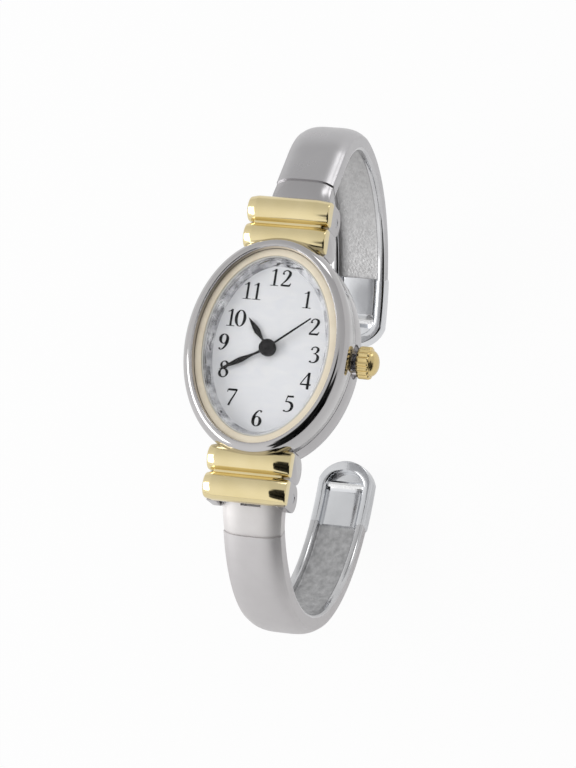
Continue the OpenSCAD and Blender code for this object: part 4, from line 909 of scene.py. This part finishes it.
# Floor, light and camera
# A pale floor under the watch, soft light from all round with dark cards that polished metal mirrors, two large soft
# lamps, and the camera of the picture.
floor_half, floor_z = 1.5, size_before[0][2] - 0.00002
floor_mesh = bpy.data.meshes.new("floor")
floor_mesh.from_pydata([(x * floor_half, y * floor_half, floor_z) for x, y in ((-1, -1), (1, -1), (1, 1), (-1, 1))],
                       [], [(0, 1, 2, 3)])
floor = bpy.data.objects.new("floor", floor_mesh)
bpy.context.scene.collection.objects.link(floor)
paper, tree, shader = bare_finish("pale_paper", Base_Color=(0.8, 0.8, 0.8, 1), Roughness=0.8)
ray = shader_node(tree, "LightPath").outputs
glow = shader_node(tree, "Emission").outputs[0]
shown = 0.0
for label, share in (("Is Camera Ray", 0.93), ("Is Transmission Ray", 0.93), ("Is Glossy Ray", 0.3)):
    shown = shader_node(tree, "Math", ray[label], share, shown, operation="MULTIPLY_ADD").outputs[0]
blend = shader_node(tree, "MixShader", shown, shader.outputs[0], glow)
tree.links.new(blend.outputs[0], tree.nodes["Material Output"].inputs["Surface"])
floor_mesh.materials.append(paper)

scene = bpy.context.scene
scene.view_settings.view_transform = "Standard"
world = bpy.data.worlds.new("soft_studio")
scene.world = world
world.use_nodes = True
sky = world.node_tree
heading = shader_node(sky, "TexCoord").outputs["Generated"]
ray = shader_node(sky, "LightPath").outputs
white, wall_dark, card_tone, soft_level = (1, 1, 1, 1), 0.62, 0.02, 0.78
cards = ((-14, 20, 15), (-34, 6, 19), (-58, 8, 19), (-28, 34, 20), (-58, 36, 20), (-45, 58, 18), (-2, 57, 13))


def toward(azimuth, height, low, high, at_low, at_high):
    """A value over directions: at_low where the cosine to the named direction is low, at_high where it is high."""
    a, h = math.radians(azimuth), math.radians(height)
    named = (math.cos(h) * math.cos(a), math.cos(h) * math.sin(a), math.sin(h))
    cosine = shader_node(sky, "VectorMath", heading, named, operation="DOT_PRODUCT").outputs["Value"]
    return shader_node(sky, "MapRange", interpolation_type="SMOOTHSTEP", Value=cosine, From_Min=low, From_Max=high,
                       To_Min=at_low, To_Max=at_high).outputs["Result"]


walls = toward(-120, 0, -1.0, 1.0, wall_dark, 1.0)
for azimuth, height, half in cards:
    inner, outer = math.cos(math.radians(half - 2)), math.cos(math.radians(half + 3))
    card = toward(azimuth, height, outer, inner, 1.0, card_tone)
    walls = shader_node(sky, "Math", walls, card, operation="MULTIPLY").outputs[0]
even_light = sky.nodes["Background"]
even_light.inputs["Color"].default_value, even_light.inputs["Strength"].default_value = white, soft_level
studio = shader_node(sky, "Background", Color=walls)
backdrop = shader_node(sky, "Background", Color=white)
gloss = shader_node(sky, "MixShader", ray["Is Glossy Ray"], even_light.outputs[0], studio.outputs[0])
straight = shader_node(sky, "Math", ray["Is Camera Ray"], ray["Is Transmission Ray"], operation="ADD")
direct = shader_node(sky, "MixShader", straight.outputs[0], gloss.outputs[0], backdrop.outputs[0])
sky.links.new(direct.outputs[0], sky.nodes["World Output"].inputs["Surface"])


def soft_lamp(name, spot, width, height, power):
    """A rectangular lamp at spot, turned to face the watch."""
    lamp = bpy.data.lights.new(name, "AREA")
    lamp.shape, lamp.size, lamp.size_y, lamp.energy = "RECTANGLE", width, height, power
    thing = bpy.data.objects.new(name, lamp)
    scene.collection.objects.link(thing)
    back = np.asarray(spot, float)
    back /= np.linalg.norm(back)
    right = np.cross([0.0, 1.0, 0.0], back)
    right /= np.linalg.norm(right)
    up = np.cross(back, right)
    thing.matrix_world = Matrix([[right[i], up[i], back[i], spot[i]] for i in range(3)] + [[0, 0, 0, 1]])


soft_lamp("lamp_left", (-0.359, -0.131, 0.238), 0.15, 0.42, 0.75)
soft_lamp("lamp_right", (0.155, 0.35, 0.10), 0.17, 0.08, 0.10)

yaw, pitch, roll = -0.288, -0.218, -0.1571
shift_x, shift_y, distance, focal = -2.5574, 4.3413, 375.636, 3346.8546
sensor, picture_h, glass_centre = 36.0, 768.0, 7.0
cy, sy, cp, sp, cr, sr = (f(a) for a in (yaw, pitch, roll) for f in (math.cos, math.sin))
turn_y = np.array([[cy, 0, sy], [0, 1, 0], [-sy, 0, cy]])
turn_x = np.array([[1, 0, 0], [0, cp, -sp], [0, sp, cp]])
turn_z = np.array([[cr, -sr, 0], [sr, cr, 0], [0, 0, 1]])
look = turn_z @ turn_x @ turn_y
spot = (look.T @ np.array([-shift_x, -shift_y, distance]) + [0, 0, glass_centre]) * mm
lens = bpy.data.cameras.new("camera")
lens.sensor_width, lens.lens = sensor, sensor * focal / picture_h
lens.clip_start, lens.clip_end = 0.01, 10
camera = bpy.data.objects.new("camera", lens)
scene.collection.objects.link(camera)
camera.matrix_world = Matrix([[*look.T[i], spot[i]] for i in range(3)] + [[0, 0, 0, 1]])
scene.camera = camera
